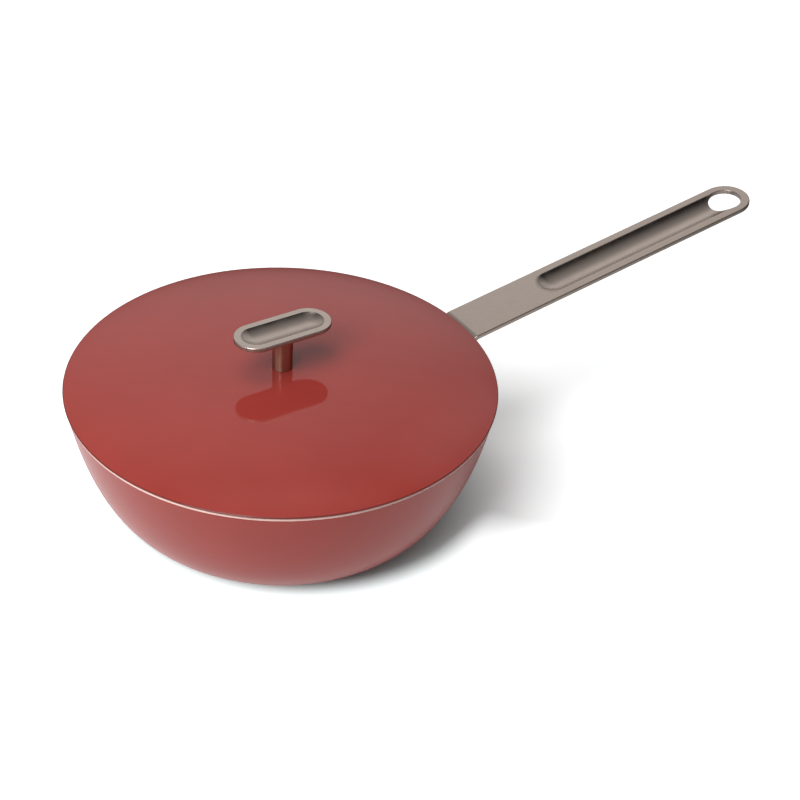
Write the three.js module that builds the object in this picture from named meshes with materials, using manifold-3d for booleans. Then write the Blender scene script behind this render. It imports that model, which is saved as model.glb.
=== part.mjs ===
// A flat-based wok with a riveted bar handle and a lid that lifts off.
// Millimetres, +Z up, +X along the handle. The origin is the middle of the face it rests on.
import * as THREE from "three";
import { mergeVertices } from "three/addons/utils/BufferGeometryUtils.js";
import Module from "manifold-3d";

const wasm = await Module();
wasm.setup();

// Fits
const FIT_GAP = 0.3; // between a piece and the curved or cut neighbour that it fits
const FACE_GAP = 0.05; // between flat faces stacked on the lid's screw

// Bowl
const RIM_DIAMETER = 260;
const RIM_HEIGHT = 85;
const RIM_BEVEL = 1.4;
const RIM_FLARE = 10.8; // degrees that the wall leans out at the rim
const RIM_PULL = 27; // how far the side keeps that lean below the rim
const BASE_DIAMETER = 150;
const BASE_PULL = 37.5; // how far the side runs out level from the base
const WALL = 2.8;
const FLOOR = 4.2;

// Steel plate let into the underside
const PLATE_DIAMETER = 128;
const PLATE_THICKNESS = 1;
const PLATE_PROUD = 0.4; // below the bowl's own base
const PLATE_CHAMFER = 0.4;

// Lid
const LID_OVERHANG = 1;
const LID_EDGE = 1.3; // height of the edge that sits on the rim
const LID_EDGE_ROUND = 0.4;
const LID_DOME = 10.3; // from the edge up to the crown
const LID_DOME_REACH = 9; // how far past the edge the dome's curve would stand upright
const LID_FULLNESS = 2.2; // 2 is an elliptic dome, more is flatter on top
const LID_SHEET = 1.3;

// Ring welded under the lid, which keeps it on the bowl
const RING_CLEARANCE = 0.8;
const RING_SHEET = 1.1;
const RING_DEPTH = 7;
const RING_FLANGE = 7;

// Knob, its post and its screw
const KNOB_LENGTH = 63;
const KNOB_WIDTH = 27.4;
const KNOB_EDGE = 2.8;
const KNOB_RISE = 27.8; // from the lid's crown to the knob's top face
const DISH_WIDTH = 18.8;
const DISH_DEPTH = 2.2;
const DISH_SHELL = 2; // metal under the dish
const COLLAR_HEIGHT = 1.2;
const POST_DIAMETER = 12.4;
const SPIGOT_WALL = 1.4;
const SPIGOT_LENGTH = 8;
const SCREW_DIAMETER = 5;
const SCREW_HEAD_DIAMETER = 9.5;
const SCREW_HEAD_HEIGHT = 3.2;
const SCREW_TIP_ROOM = 0.6; // left over at the end of the tapped hole
const DRIVE_WIDTH = 1.1;
const DRIVE_LENGTH = 5.4;
const DRIVE_DEPTH = 1.6;
const SEAL_DIAMETER = 17;
const SEAL_THICKNESS = 1.2;
const WASHER_DIAMETER = 15;
const WASHER_THICKNESS = 1.1;
const SPRING_WASHER_DIAMETER = 9.2;
const SPRING_WASHER_THICKNESS = 1.3;
const SPRING_WASHER_SLIT = 1;

// Handle
const HANDLE_LENGTH = 237; // along the bar, from over the rim to the tip
const HANDLE_WIDTH = 33.3;
const HANDLE_THICKNESS = 3;
const HANDLE_SLOPE = 9; // degrees that the bar climbs
const HANDLE_LIFT = 0.7; // of the bar's top face over the rim, where its line crosses
const NECK_RADIUS = 3; // bend between the palm and the bar, at mid thickness
const SCOOP_START = 64; // along the bar, from over the rim
const SCOOP_WIDTH = 21.8;
const SCOOP_DEPTH = 2.9;
const SCOOP_SHELL = 2.4; // metal under the scoop
const HANG_HOLE_DIAMETER = 22;
const HANG_HOLE_SETBACK = 17; // from the tip to the hole's middle
const PALM_WIDTH = 40;
const PALM_TOP_DROP = 8; // from the rim to the palm's shoulders
const PALM_DROP = 46; // from the rim to the palm's lowest point
const PALM_CORNER = 4;

// Rivets
const RIVET_DIAMETER = 5.5;
const RIVET_HEAD_DIAMETER = 11;
const RIVET_HEAD_HEIGHT = 2;
const RIVET_TAIL_DIAMETER = 9;
const RIVET_TAIL_HEIGHT = 2.2;
const RIVET_SPREAD = 11; // of the upper pair, to each side of the handle's middle
const UPPER_RIVET_DROP = 18; // below the rim
const LOWER_RIVET_DROP = 34;

// Facets
const ROUND_STEPS = 64; // round the bowl and the lid
const SMALL_STEPS = 24; // round the post, the screw and the rivets
const SIDE_STEPS = 9; // up the bowl's side
const DOME_STEPS = 8; // across the lid
const SCOOP_STEPS = 40;
const END_STEPS = 10; // round each end of a bar
const DOME_HEAD_STEPS = 4; // over a rivet's head

const MERGE_DISTANCE = 1e-4;
const CUT_REACH = 60; // how far a cutter runs past what it cuts

const RED_ENAMEL = { color: 0xa8443c, roughness: 0.16, metalness: 0 };
const RED_COATING = { color: 0xa55049, roughness: 0.38, metalness: 0 };
const CAST_STEEL = { color: 0xa6988f, roughness: 0.42, metalness: 1 };
const BRIGHT_STEEL = { color: 0xb4aca6, roughness: 0.25, metalness: 1 };
const RIVET_METAL = { color: 0xb9b6b2, roughness: 0.34, metalness: 1 };
const SEAL_RUBBER = { color: 0x4a3d3a, roughness: 0.8, metalness: 0 };

const rimRadius = RIM_DIAMETER / 2;
const baseRadius = BASE_DIAMETER / 2;
const lidRadius = rimRadius + LID_OVERHANG;
const lidSeat = RIM_HEIGHT + FIT_GAP;
const screwHoleRadius = SCREW_DIAMETER / 2 + FIT_GAP;
const spigotRadius = screwHoleRadius + SPIGOT_WALL;
const wok = new THREE.Group();

// Turns a closed geometry into a solid that can be cut and joined.
function solidOf(geometry) {
  const bare = geometry.clone();
  bare.deleteAttribute("normal");
  bare.deleteAttribute("uv");
  const merged = mergeVertices(bare, MERGE_DISTANCE);
  const vertProperties = merged.attributes.position.array;
  const triVerts = Uint32Array.from(merged.index.array);
  return new wasm.Manifold(new wasm.Mesh({ numProp: 3, vertProperties, triVerts }));
}

// Turns a cut or joined solid back into a geometry.
function geometryOf(solid) {
  const mesh = solid.getMesh();
  const geometry = new THREE.BufferGeometry();
  geometry.setAttribute("position", new THREE.BufferAttribute(mesh.vertProperties, 3));
  geometry.setIndex(new THREE.BufferAttribute(mesh.triVerts, 1));
  geometry.computeVertexNormals();
  return geometry;
}

function addPiece(name, geometry, look, parent = wok) {
  const piece = new THREE.Mesh(geometry, new THREE.MeshStandardMaterial(look));
  piece.name = name;
  parent.add(piece);
  return piece;
}

// Spins [radius, height] points round the Z axis. They run out along the bottom and back over the top.
function lathe(outline, steps) {
  const points = outline.map(([radius, height]) => new THREE.Vector2(radius, height));
  return new THREE.LatheGeometry(points, steps).rotateX(Math.PI / 2);
}

function ring(innerRadius, outerRadius, low, high, steps) {
  return lathe(
    [
      [innerRadius, low],
      [outerRadius, low],
      [outerRadius, high],
      [innerRadius, high],
      [innerRadius, low],
    ],
    steps,
  );
}

function cylinder(radius, low, high, steps) {
  return new THREE.CylinderGeometry(radius, radius, high - low, steps)
    .rotateX(Math.PI / 2)
    .translate(0, 0, (low + high) / 2);
}

// Extrudes a flat shape from low to high along its normal.
function prism(shape, low, high, steps = END_STEPS) {
  const options = { depth: high - low, bevelEnabled: false, curveSegments: steps };
  return new THREE.ExtrudeGeometry(shape, options).translate(0, 0, low);
}

// An outline with straight sides and a half-round end at each x.
function stadium(startX, endX, radius) {
  const shape = new THREE.Shape();
  shape.absarc(endX, 0, radius, -Math.PI / 2, Math.PI / 2, false);
  shape.absarc(startX, 0, radius, Math.PI / 2, Math.PI * 1.5, false);
  return shape;
}

// A long scoop sunk into the face at height 0, and the shell of metal that bulges under it.
function scoop(startX, endX, width, depth, shell) {
  const radius = (width * width * 0.25 + depth * depth) / (2 * depth);
  const capsule = (size) =>
    new THREE.CapsuleGeometry(size, endX - startX, END_STEPS, SCOOP_STEPS)
      .rotateZ(-Math.PI / 2)
      .translate((startX + endX) / 2, 0, radius - depth);
  const below = new THREE.BoxGeometry(endX - startX + CUT_REACH, CUT_REACH, CUT_REACH)
    .translate((startX + endX) / 2, 0, -CUT_REACH / 2 - shell / 4);
  return {
    cut: solidOf(capsule(radius)),
    bulge: solidOf(capsule(radius + shell)).intersect(solidOf(below)),
  };
}

// The bowl's outer side, from the edge of the base up to the bevel on the rim
const flare = THREE.MathUtils.degToRad(RIM_FLARE);
const bevelFoot = RIM_HEIGHT - RIM_BEVEL;
const side = new THREE.CubicBezierCurve(
  new THREE.Vector2(baseRadius, PLATE_PROUD),
  new THREE.Vector2(baseRadius + BASE_PULL, PLATE_PROUD),
  new THREE.Vector2(rimRadius - RIM_PULL * Math.sin(flare), bevelFoot - RIM_PULL * Math.cos(flare)),
  new THREE.Vector2(rimRadius, bevelFoot),
);

// Wall thickness at a share of the way up the side.
function wallThickness(share) {
  return THREE.MathUtils.lerp(FLOOR, WALL, share);
}

// A point off the side curve, moved out along its normal, or inwards where the distance is negative.
function besideSide(share, distance) {
  const along = side.getTangent(share);
  const point = side.getPoint(share);
  return new THREE.Vector2(point.x + along.y * distance, point.y - along.x * distance);
}

// A point on the bowl's inner face.
function insideSide(share) {
  return besideSide(share, -wallThickness(share));
}

// The share of the way up at which the side, or another curve beside it, reaches a height.
function shareAtHeight(height, curve = (share) => side.getPoint(share)) {
  let low = 0;
  let high = 1;
  while (high - low > 1e-9) {
    const middle = (low + high) / 2;
    if (curve(middle).y < height) low = middle;
    else high = middle;
  }
  return low;
}

// Evenly spaced shares between two shares of the side, both included.
function sharesBetween(first, last, steps) {
  return Array.from({ length: steps + 1 }, (_, step) => first + ((last - first) * step) / steps);
}

function bowlGeometry() {
  const shares = sharesBetween(0, 1, SIDE_STEPS);
  const outside = shares.map((share) => side.getPoint(share).toArray());
  const inside = shares.map((share) => insideSide(share).toArray());
  const innerRim = inside[SIDE_STEPS][0];
  const recessRadius = PLATE_DIAMETER / 2 + FIT_GAP;
  const recessTop = PLATE_THICKNESS + FIT_GAP;
  return lathe(
    [
      [0, recessTop],
      [recessRadius, recessTop],
      [recessRadius, PLATE_PROUD],
      ...outside,
      [rimRadius - RIM_BEVEL, RIM_HEIGHT],
      [innerRim, RIM_HEIGHT],
      ...inside.reverse(),
      [0, PLATE_PROUD + FLOOR],
    ],
    ROUND_STEPS,
  );
}

function plateGeometry() {
  const radius = PLATE_DIAMETER / 2;
  return lathe(
    [
      [0, 0],
      [radius - PLATE_CHAMFER, 0],
      [radius, PLATE_CHAMFER],
      [radius, PLATE_THICKNESS],
      [0, PLATE_THICKNESS],
    ],
    ROUND_STEPS,
  );
}

// Where each rivet crosses the wall: its +Z runs out of the bowl, from the wall's outer face.
function rivetPlace(sideways, drop) {
  const share = shareAtHeight(RIM_HEIGHT - drop);
  const along = side.getTangent(share);
  const point = side.getPoint(share);
  const turn = Math.asin(sideways / point.x);
  const lean = Math.PI / 2 + Math.atan2(along.x, along.y);
  const place = new THREE.Matrix4()
    .makeRotationZ(turn)
    .multiply(new THREE.Matrix4().makeTranslation(point.x, 0, point.y))
    .multiply(new THREE.Matrix4().makeRotationY(lean));
  return { place, wall: wallThickness(share) };
}

const rivets = [
  { name: "rivet_upper_left", ...rivetPlace(RIVET_SPREAD, UPPER_RIVET_DROP) },
  { name: "rivet_upper_right", ...rivetPlace(-RIVET_SPREAD, UPPER_RIVET_DROP) },
  { name: "rivet_lower", ...rivetPlace(0, LOWER_RIVET_DROP) },
];

// Points of a low domed head, from the middle of its crown to its rim.
function domedHead(radius, height, foot) {
  const steps = Array.from({ length: DOME_HEAD_STEPS + 1 }, (_, step) => step / DOME_HEAD_STEPS);
  return steps.map((step) => {
    const angle = (step * Math.PI) / 2;
    return [radius * Math.sin(angle), foot + height * Math.cos(angle)];
  });
}

// A rivet with its made head inside the bowl and its pressed tail on the palm.
function rivetGeometry(wall) {
  const headRadius = RIVET_HEAD_DIAMETER / 2;
  const hollow = (headRadius * headRadius) / RIM_DIAMETER; // how far the curved wall rises under the head
  const headFoot = -wall - FIT_GAP - hollow;
  const tailFoot = HANDLE_THICKNESS + FIT_GAP * 2;
  return lathe(
    [
      ...domedHead(headRadius, -RIVET_HEAD_HEIGHT, headFoot),
      [RIVET_DIAMETER / 2, headFoot],
      [RIVET_DIAMETER / 2, tailFoot],
      ...domedHead(RIVET_TAIL_DIAMETER / 2, RIVET_TAIL_HEIGHT, tailFoot).reverse(),
    ],
    SMALL_STEPS,
  );
}

function rivetHole({ place }) {
  const hole = cylinder(RIVET_DIAMETER / 2 + FIT_GAP, -CUT_REACH / 4, CUT_REACH / 4, SMALL_STEPS);
  return solidOf(hole.applyMatrix4(place));
}

// The handle's bar: x along it from over the rim, y across it, z up from its top face
const slope = THREE.MathUtils.degToRad(HANDLE_SLOPE);
const barFrame = new THREE.Matrix4()
  .makeTranslation(rimRadius, 0, RIM_HEIGHT + HANDLE_LIFT)
  .multiply(new THREE.Matrix4().makeRotationY(-slope));

// The bent strip seen from the side: up along the bowl's wall, round the neck and out along the bar.
function stripProfile() {
  const half = HANDLE_THICKNESS / 2;
  const up = side.getTangent(1);
  const out = new THREE.Vector2(Math.cos(slope), Math.sin(slope));
  const onPalm = besideSide(1, FIT_GAP + half);
  const onBar = new THREE.Vector2(rimRadius + Math.sin(slope) * half, RIM_HEIGHT + HANDLE_LIFT);
  onBar.y -= Math.cos(slope) * half;
  const climb = onBar.clone().sub(onPalm).cross(out) / up.cross(out);
  const corner = onPalm.clone().addScaledVector(up, climb);
  const bend = up.angleTo(out);
  const run = NECK_RADIUS * Math.tan(bend / 2);
  const start = corner.clone().addScaledVector(up, -run);
  const centre = new THREE.Vector2(start.x + up.y * NECK_RADIUS, start.y - up.x * NECK_RADIUS);
  const firstAngle = Math.atan2(up.x, -up.y);
  const lastAngle = firstAngle - bend;
  const palmTop = RIM_HEIGHT - PALM_TOP_DROP;
  const foot = start.clone().addScaledVector(up, palmTop - start.y - HANDLE_THICKNESS * 2);
  const end = corner.clone().addScaledVector(out, HANDLE_LENGTH + NECK_RADIUS);
  const shape = new THREE.Shape();
  shape.moveTo(foot.x - up.y * half, foot.y + up.x * half);
  shape.absarc(centre.x, centre.y, NECK_RADIUS + half, firstAngle, lastAngle, true);
  shape.lineTo(end.x - out.y * half, end.y + out.x * half);
  shape.lineTo(end.x + out.y * half, end.y - out.x * half);
  shape.absarc(centre.x, centre.y, NECK_RADIUS - half, lastAngle, firstAngle, false);
  shape.lineTo(foot.x + up.y * half, foot.y - up.x * half);
  return { shape, palmTop };
}

// The palm follows the bowl's wall. Its outline has a round foot, and it reaches up to the neck.
function palmSolid(palmTop) {
  const half = PALM_WIDTH / 2;
  const low = RIM_HEIGHT - PALM_DROP;
  const shares = sharesBetween(shareAtHeight(low - HANDLE_THICKNESS), 1, SIDE_STEPS);
  const inner = shares.map((share) => besideSide(share, FIT_GAP).toArray());
  const outer = shares.map((share) => besideSide(share, FIT_GAP + HANDLE_THICKNESS).toArray());
  const shell = lathe([...outer, ...inner.reverse(), outer[0]], ROUND_STEPS * 2);
  const outline = new THREE.Shape();
  outline.absarc(0, low + half, half, Math.PI, Math.PI * 2, false);
  outline.absarc(half - PALM_CORNER, palmTop - PALM_CORNER, PALM_CORNER, 0, Math.PI / 2, false);
  outline.absarc(PALM_CORNER - half, palmTop - PALM_CORNER, PALM_CORNER, Math.PI / 2, Math.PI, false);
  const outwards = new THREE.Matrix4().makeBasis(
    new THREE.Vector3(0, 1, 0),
    new THREE.Vector3(0, 0, 1),
    new THREE.Vector3(1, 0, 0),
  );
  const block = prism(outline, 0, rimRadius + CUT_REACH).applyMatrix4(outwards);
  return solidOf(shell).intersect(solidOf(block));
}

function handleGeometry() {
  const half = HANDLE_WIDTH / 2;
  const { shape, palmTop } = stripProfile();
  const sideways = new THREE.Matrix4().makeBasis(
    new THREE.Vector3(1, 0, 0),
    new THREE.Vector3(0, 0, 1),
    new THREE.Vector3(0, -1, 0),
  );
  const strip = prism(shape, -HANDLE_WIDTH, HANDLE_WIDTH).applyMatrix4(sideways);
  const plan = stadium(-CUT_REACH, HANDLE_LENGTH - half, half);
  const planBlock = prism(plan, -CUT_REACH, CUT_REACH).applyMatrix4(barFrame);
  const holeX = HANDLE_LENGTH - HANG_HOLE_SETBACK;
  const { cut, bulge } = scoop(SCOOP_START + SCOOP_WIDTH / 2, holeX, SCOOP_WIDTH, SCOOP_DEPTH, SCOOP_SHELL);
  const hole = cylinder(HANG_HOLE_DIAMETER / 2, -CUT_REACH, CUT_REACH, SCOOP_STEPS).translate(holeX, 0, 0);
  let handle = solidOf(strip)
    .intersect(solidOf(planBlock))
    .add(palmSolid(palmTop))
    .add(bulge.transform(barFrame.elements))
    .subtract(cut.transform(barFrame.elements))
    .subtract(solidOf(hole.applyMatrix4(barFrame)));
  for (const rivet of rivets) {
    handle = handle.subtract(rivetHole(rivet));
  }
  return geometryOf(handle);
}

// The locating ring clears the bowl's inner face at its own lower edge, where the bowl is narrowest
const ringFoot = RIM_HEIGHT - RING_DEPTH;
const ringRadius = insideSide(shareAtHeight(ringFoot, insideSide)).x - RING_CLEARANCE;

const lidEdgeTop = lidSeat + LID_EDGE;
const domeRadius = lidRadius + LID_DOME_REACH;

// Height on the dome's whole curve, from 1 at its middle to 0 where it would stand upright.
function domeCurve(radius) {
  return Math.sqrt(1 - (radius / domeRadius) ** LID_FULLNESS);
}

// Height of the lid's outer face at a radius.
function lidTop(radius) {
  const atEdge = domeCurve(lidRadius);
  return lidEdgeTop + (LID_DOME * (domeCurve(radius) - atEdge)) / (1 - atEdge);
}

function lidUnderside(radius) {
  return lidTop(radius) - LID_SHEET;
}

// Radii from the screw hole out to a last radius, closer together where the dome turns down.
function domeRadii(last) {
  const lastAngle = Math.asin(last / domeRadius);
  const firstAngle = Math.asin(screwHoleRadius / domeRadius);
  const angles = sharesBetween(firstAngle, lastAngle, DOME_STEPS);
  return angles.map((angle) => domeRadius * Math.sin(angle));
}

function lidGeometry() {
  const edgeInside = ringRadius + FIT_GAP;
  const under = domeRadii(edgeInside).map((radius) => [radius, lidUnderside(radius)]);
  const over = domeRadii(lidRadius - LID_EDGE_ROUND).map((radius) => [radius, lidTop(radius)]);
  return lathe(
    [
      ...under,
      [edgeInside, lidSeat],
      [lidRadius - LID_EDGE_ROUND, lidSeat],
      [lidRadius, lidSeat + LID_EDGE_ROUND],
      [lidRadius, lidEdgeTop - LID_EDGE_ROUND],
      ...over.reverse(),
      under[0],
    ],
    ROUND_STEPS,
  );
}

function locatingRingGeometry() {
  const inner = ringRadius - RING_SHEET;
  const flangeInner = ringRadius - RING_FLANGE;
  const flangeTop = (radius) => [radius, lidUnderside(radius) - FIT_GAP];
  const flangeFoot = (radius) => [radius, lidUnderside(radius) - FIT_GAP - RING_SHEET];
  const middle = (inner + flangeInner) / 2;
  return lathe(
    [
      [inner, ringFoot],
      [ringRadius, ringFoot],
      flangeTop(ringRadius),
      flangeTop(inner),
      flangeTop(middle),
      flangeTop(flangeInner),
      flangeFoot(flangeInner),
      flangeFoot(middle),
      flangeFoot(inner),
      [inner, ringFoot],
    ],
    ROUND_STEPS,
  );
}

// Heights of the stack on the lid's screw, from the knob down
const crown = lidTop(screwHoleRadius);
const knobTop = crown + KNOB_RISE;
const collarFoot = -DISH_DEPTH - DISH_SHELL - COLLAR_HEIGHT; // from the knob's top face
const tappedEnd = -DISH_DEPTH - DISH_SHELL; // from the knob's top face
const sealTop = crown - LID_SHEET - FACE_GAP;
const washerTop = sealTop - SEAL_THICKNESS - FACE_GAP;
const springWasherTop = washerTop - WASHER_THICKNESS - FACE_GAP;
const headTop = springWasherTop - SPRING_WASHER_THICKNESS - FACE_GAP;

// The knob's grip: a dished bar with a collar and a tapped spigot that goes down into the post.
function knobGeometry() {
  const endX = (KNOB_LENGTH - KNOB_WIDTH) / 2;
  const plate = prism(stadium(-endX, endX, KNOB_WIDTH / 2), -KNOB_EDGE, 0);
  const { cut, bulge } = scoop(-endX, endX, DISH_WIDTH, DISH_DEPTH, DISH_SHELL);
  const middleOfShell = -DISH_DEPTH - DISH_SHELL / 2;
  const collar = cylinder(POST_DIAMETER / 2, collarFoot, middleOfShell, SMALL_STEPS);
  const spigotFoot = collarFoot - SPIGOT_LENGTH;
  const spigot = cylinder(spigotRadius, spigotFoot, middleOfShell, SMALL_STEPS);
  const tapped = cylinder(screwHoleRadius, spigotFoot - CUT_REACH, tappedEnd, SMALL_STEPS);
  const grip = solidOf(plate)
    .add(bulge)
    .add(solidOf(collar).add(solidOf(spigot)))
    .subtract(cut)
    .subtract(solidOf(tapped));
  return geometryOf(grip);
}

function screwGeometry() {
  const headRadius = SCREW_HEAD_DIAMETER / 2;
  const tip = knobTop + tappedEnd - SCREW_TIP_ROOM;
  const body = lathe(
    [
      ...domedHead(headRadius, -SCREW_HEAD_HEIGHT, headTop),
      [SCREW_DIAMETER / 2, headTop],
      [SCREW_DIAMETER / 2, tip],
      [0, tip],
    ],
    SMALL_STEPS,
  );
  const driveZ = headTop - SCREW_HEAD_HEIGHT;
  const arm = new THREE.BoxGeometry(DRIVE_LENGTH, DRIVE_WIDTH, DRIVE_DEPTH * 2).translate(0, 0, driveZ);
  const cross = solidOf(arm).add(solidOf(arm.clone().rotateZ(Math.PI / 2)));
  return geometryOf(solidOf(body).subtract(cross));
}

function springWasherGeometry() {
  const outer = SPRING_WASHER_DIAMETER / 2;
  const low = springWasherTop - SPRING_WASHER_THICKNESS;
  const whole = ring(screwHoleRadius, outer, low, springWasherTop, SMALL_STEPS);
  const slit = new THREE.BoxGeometry(SPRING_WASHER_DIAMETER, SPRING_WASHER_SLIT, CUT_REACH)
    .translate(outer, 0, springWasherTop);
  return geometryOf(solidOf(whole).subtract(solidOf(slit)));
}

// Pan
const bowl = rivets.reduce((solid, rivet) => solid.subtract(rivetHole(rivet)), solidOf(bowlGeometry()));
addPiece("pan_bowl", geometryOf(bowl), RED_COATING);
addPiece("base_plate", plateGeometry(), BRIGHT_STEEL);
addPiece("handle", handleGeometry(), CAST_STEEL);
for (const rivet of rivets) {
  const piece = addPiece(rivet.name, rivetGeometry(rivet.wall), RIVET_METAL);
  rivet.place.decompose(piece.position, piece.quaternion, piece.scale);
}

// Lid
addPiece("lid_cover", lidGeometry(), RED_ENAMEL);
addPiece("lid_locating_ring", locatingRingGeometry(), BRIGHT_STEEL);
const knobGroup = new THREE.Group();
knobGroup.position.z = knobTop;
wok.add(knobGroup);
addPiece("knob_grip", knobGeometry(), CAST_STEEL, knobGroup);
const postFoot = crown + FACE_GAP;
const postTop = knobTop + collarFoot - FACE_GAP;
const postGeometry = ring(spigotRadius + FIT_GAP, POST_DIAMETER / 2, postFoot, postTop, SMALL_STEPS);
addPiece("knob_post", postGeometry, BRIGHT_STEEL);
const sealFoot = sealTop - SEAL_THICKNESS;
addPiece("knob_seal", ring(screwHoleRadius, SEAL_DIAMETER / 2, sealFoot, sealTop, SMALL_STEPS), SEAL_RUBBER);
const washerFoot = washerTop - WASHER_THICKNESS;
const washerGeometry = ring(screwHoleRadius, WASHER_DIAMETER / 2, washerFoot, washerTop, SMALL_STEPS);
addPiece("knob_washer", washerGeometry, BRIGHT_STEEL);
addPiece("knob_spring_washer", springWasherGeometry(), BRIGHT_STEEL);
addPiece("knob_screw", screwGeometry(), BRIGHT_STEEL);

export default wok;
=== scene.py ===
"""Looks of a flat-based wok with a riveted bar handle and a lift-off lid.

Metres, in the part's own frame: +Z up, +X along the handle, origin under the middle of the base.
"""

import math

import bpy
import numpy as np
from bpy.props import FloatProperty, FloatVectorProperty, PointerProperty
from bpy.types import Operator, Panel, PropertyGroup
from mathutils import Matrix, Vector


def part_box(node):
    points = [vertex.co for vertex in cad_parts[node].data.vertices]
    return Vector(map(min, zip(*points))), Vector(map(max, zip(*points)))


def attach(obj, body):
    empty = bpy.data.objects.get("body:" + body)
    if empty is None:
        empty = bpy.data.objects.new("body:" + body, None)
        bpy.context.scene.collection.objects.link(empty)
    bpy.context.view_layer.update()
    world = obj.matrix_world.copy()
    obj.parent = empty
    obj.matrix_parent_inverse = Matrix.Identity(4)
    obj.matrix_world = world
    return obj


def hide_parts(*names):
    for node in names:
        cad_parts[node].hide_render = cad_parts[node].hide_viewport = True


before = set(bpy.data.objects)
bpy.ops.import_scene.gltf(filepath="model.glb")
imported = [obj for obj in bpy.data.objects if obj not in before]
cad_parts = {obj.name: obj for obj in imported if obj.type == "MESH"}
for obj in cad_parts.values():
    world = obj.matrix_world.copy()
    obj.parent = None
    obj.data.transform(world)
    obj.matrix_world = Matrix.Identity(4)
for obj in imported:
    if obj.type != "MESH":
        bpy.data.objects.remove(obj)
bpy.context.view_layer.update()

bl_info = {
    "name": "Wok with lid",
    "version": (1, 0, 0),
    "blender": (4, 5, 0),
    "location": "3D View > Sidebar > Wok",
    "description": "Builds a flat-based wok with a bar handle and a lift-off lid",
    "category": "Add Mesh",
}

MM = 0.001
MERGE_DISTANCE = 1e-6
ROUNDING_STEPS = 5
ROUNDING_SUPPORT = 0.5  # of a rounding, from its end to the point that keeps the next face flat
SHARP_ANGLE = math.radians(38)
QUARTER_TURN = 0.25  # of a full turn, for highlights drawn out across tool marks

# Corners of the CAD nodes that the pieces take their sizes from
BOWL_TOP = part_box("pan_bowl")[1]
PLATE_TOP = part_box("base_plate")[1]
LID_FOOT, LID_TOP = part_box("lid_cover")
RING_FOOT, RING_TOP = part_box("lid_locating_ring")
KNOB_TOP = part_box("knob_grip")[1]
POST_FOOT, POST_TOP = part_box("knob_post")
SCREW_FOOT, SCREW_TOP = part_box("knob_screw")


def length(name, description, default):
    return FloatProperty(
        name=name, description=description, default=default, min=0, precision=4, unit="LENGTH"
    )


def angle(name, description, degrees):
    return FloatProperty(
        name=name, description=description, default=math.radians(degrees), subtype="ANGLE"
    )


def number(name, description, default):
    return FloatProperty(name=name, description=description, default=default, min=0)


def colour(name, description, default):
    return FloatVectorProperty(
        name=name, description=description, default=default, min=0, max=1, subtype="COLOR"
    )


class BowlSettings(PropertyGroup):
    """Sizes and finishes of the bowl and of the plate under it."""

    rim_diameter: length("Rim diameter", "Across the rim", 2 * BOWL_TOP.x)
    rim_height: length("Rim height", "From the hob to the rim", BOWL_TOP.z)
    rim_bevel: length("Rim bevel", "Height of the bare band on the rim's outer edge", 1.05 * MM)
    rim_lean: length("Rim lean", "How far that band leans in at its top", 0.5 * MM)
    rim_flare: angle("Rim flare", "How far the wall leans out at the rim", 10.8)
    rim_pull: length("Rim pull", "How far the side keeps that lean below the rim", 27 * MM)
    base_diameter: length("Base diameter", "Across the flat of the base", 150 * MM)
    base_pull: length("Base pull", "How far the side runs out level from the base", 37.5 * MM)
    wall: length("Wall", "Thickness at the rim", 2.8 * MM)
    floor: length("Floor", "Thickness at the base", 4.2 * MM)
    plate_diameter: length("Plate diameter", "Across the steel plate", 2 * PLATE_TOP.x)
    plate_thickness: length("Plate thickness", "Of the steel plate", PLATE_TOP.z)
    plate_proud: length("Plate proud", "How far the plate stands below the bowl", 0.4 * MM)
    plate_groove: length("Plate groove", "Depth of the rings turned into the plate", 0.3 * MM)
    fit_gap: length("Fit gap", "Between pieces that fit each other", 0.3 * MM)
    coating: colour("Coating", "Satin coating outside", (0.34, 0.052, 0.043))
    lining: colour("Lining", "Ceramic lining inside", (0.52, 0.47, 0.42))
    bare_metal: colour("Bare metal", "Machined rim", (0.93, 0.68, 0.61))
    plate_steel: colour("Plate steel", "Steel plate under the base", (0.50, 0.47, 0.44))


class LidSettings(PropertyGroup):
    """Sizes and finishes of the lid and of the ring under it."""

    edge_height: length("Edge height", "Of the edge that sits on the rim", 1.3 * MM)
    edge_rounding: length("Edge rounding", "Of the edge's upper corner", 0.6 * MM)
    edge_undercut: length("Edge undercut", "How far the edge leans in at its foot", 0.9 * MM)
    # The dark edge band is partly a thin-enamel ground coat and partly painted shade
    dark_edge: length("Thin edge", "Width of the edge where the enamel is thin", 0.7 * MM)
    dome: length("Dome", "Rise of the middle over the edge", 10.3 * MM)
    dome_reach: length("Dome reach", "How far past the edge the dome's curve would stand upright", 9 * MM)
    fullness: number("Fullness", "2 is an elliptic dome, more is flatter on top", 2.2)
    sheet: length("Sheet", "Thickness of the lid's sheet", 1.3 * MM)
    ring_sheet: length("Ring sheet", "Thickness of the locating ring", 1.1 * MM)
    ring_flange: length("Ring flange", "Width of the ring's welded flange", 7 * MM)
    enamel: colour("Enamel", "Gloss enamel", (0.34, 0.042, 0.033))
    # Ground coat colour, also used as painted shade on the lid's edge
    ground_coat: colour("Ground coat", "Dark coat that shows at the edge", (0.075, 0.016, 0.014))
    ring_steel: colour("Ring steel", "Locating ring", (0.58, 0.55, 0.52))


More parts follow.
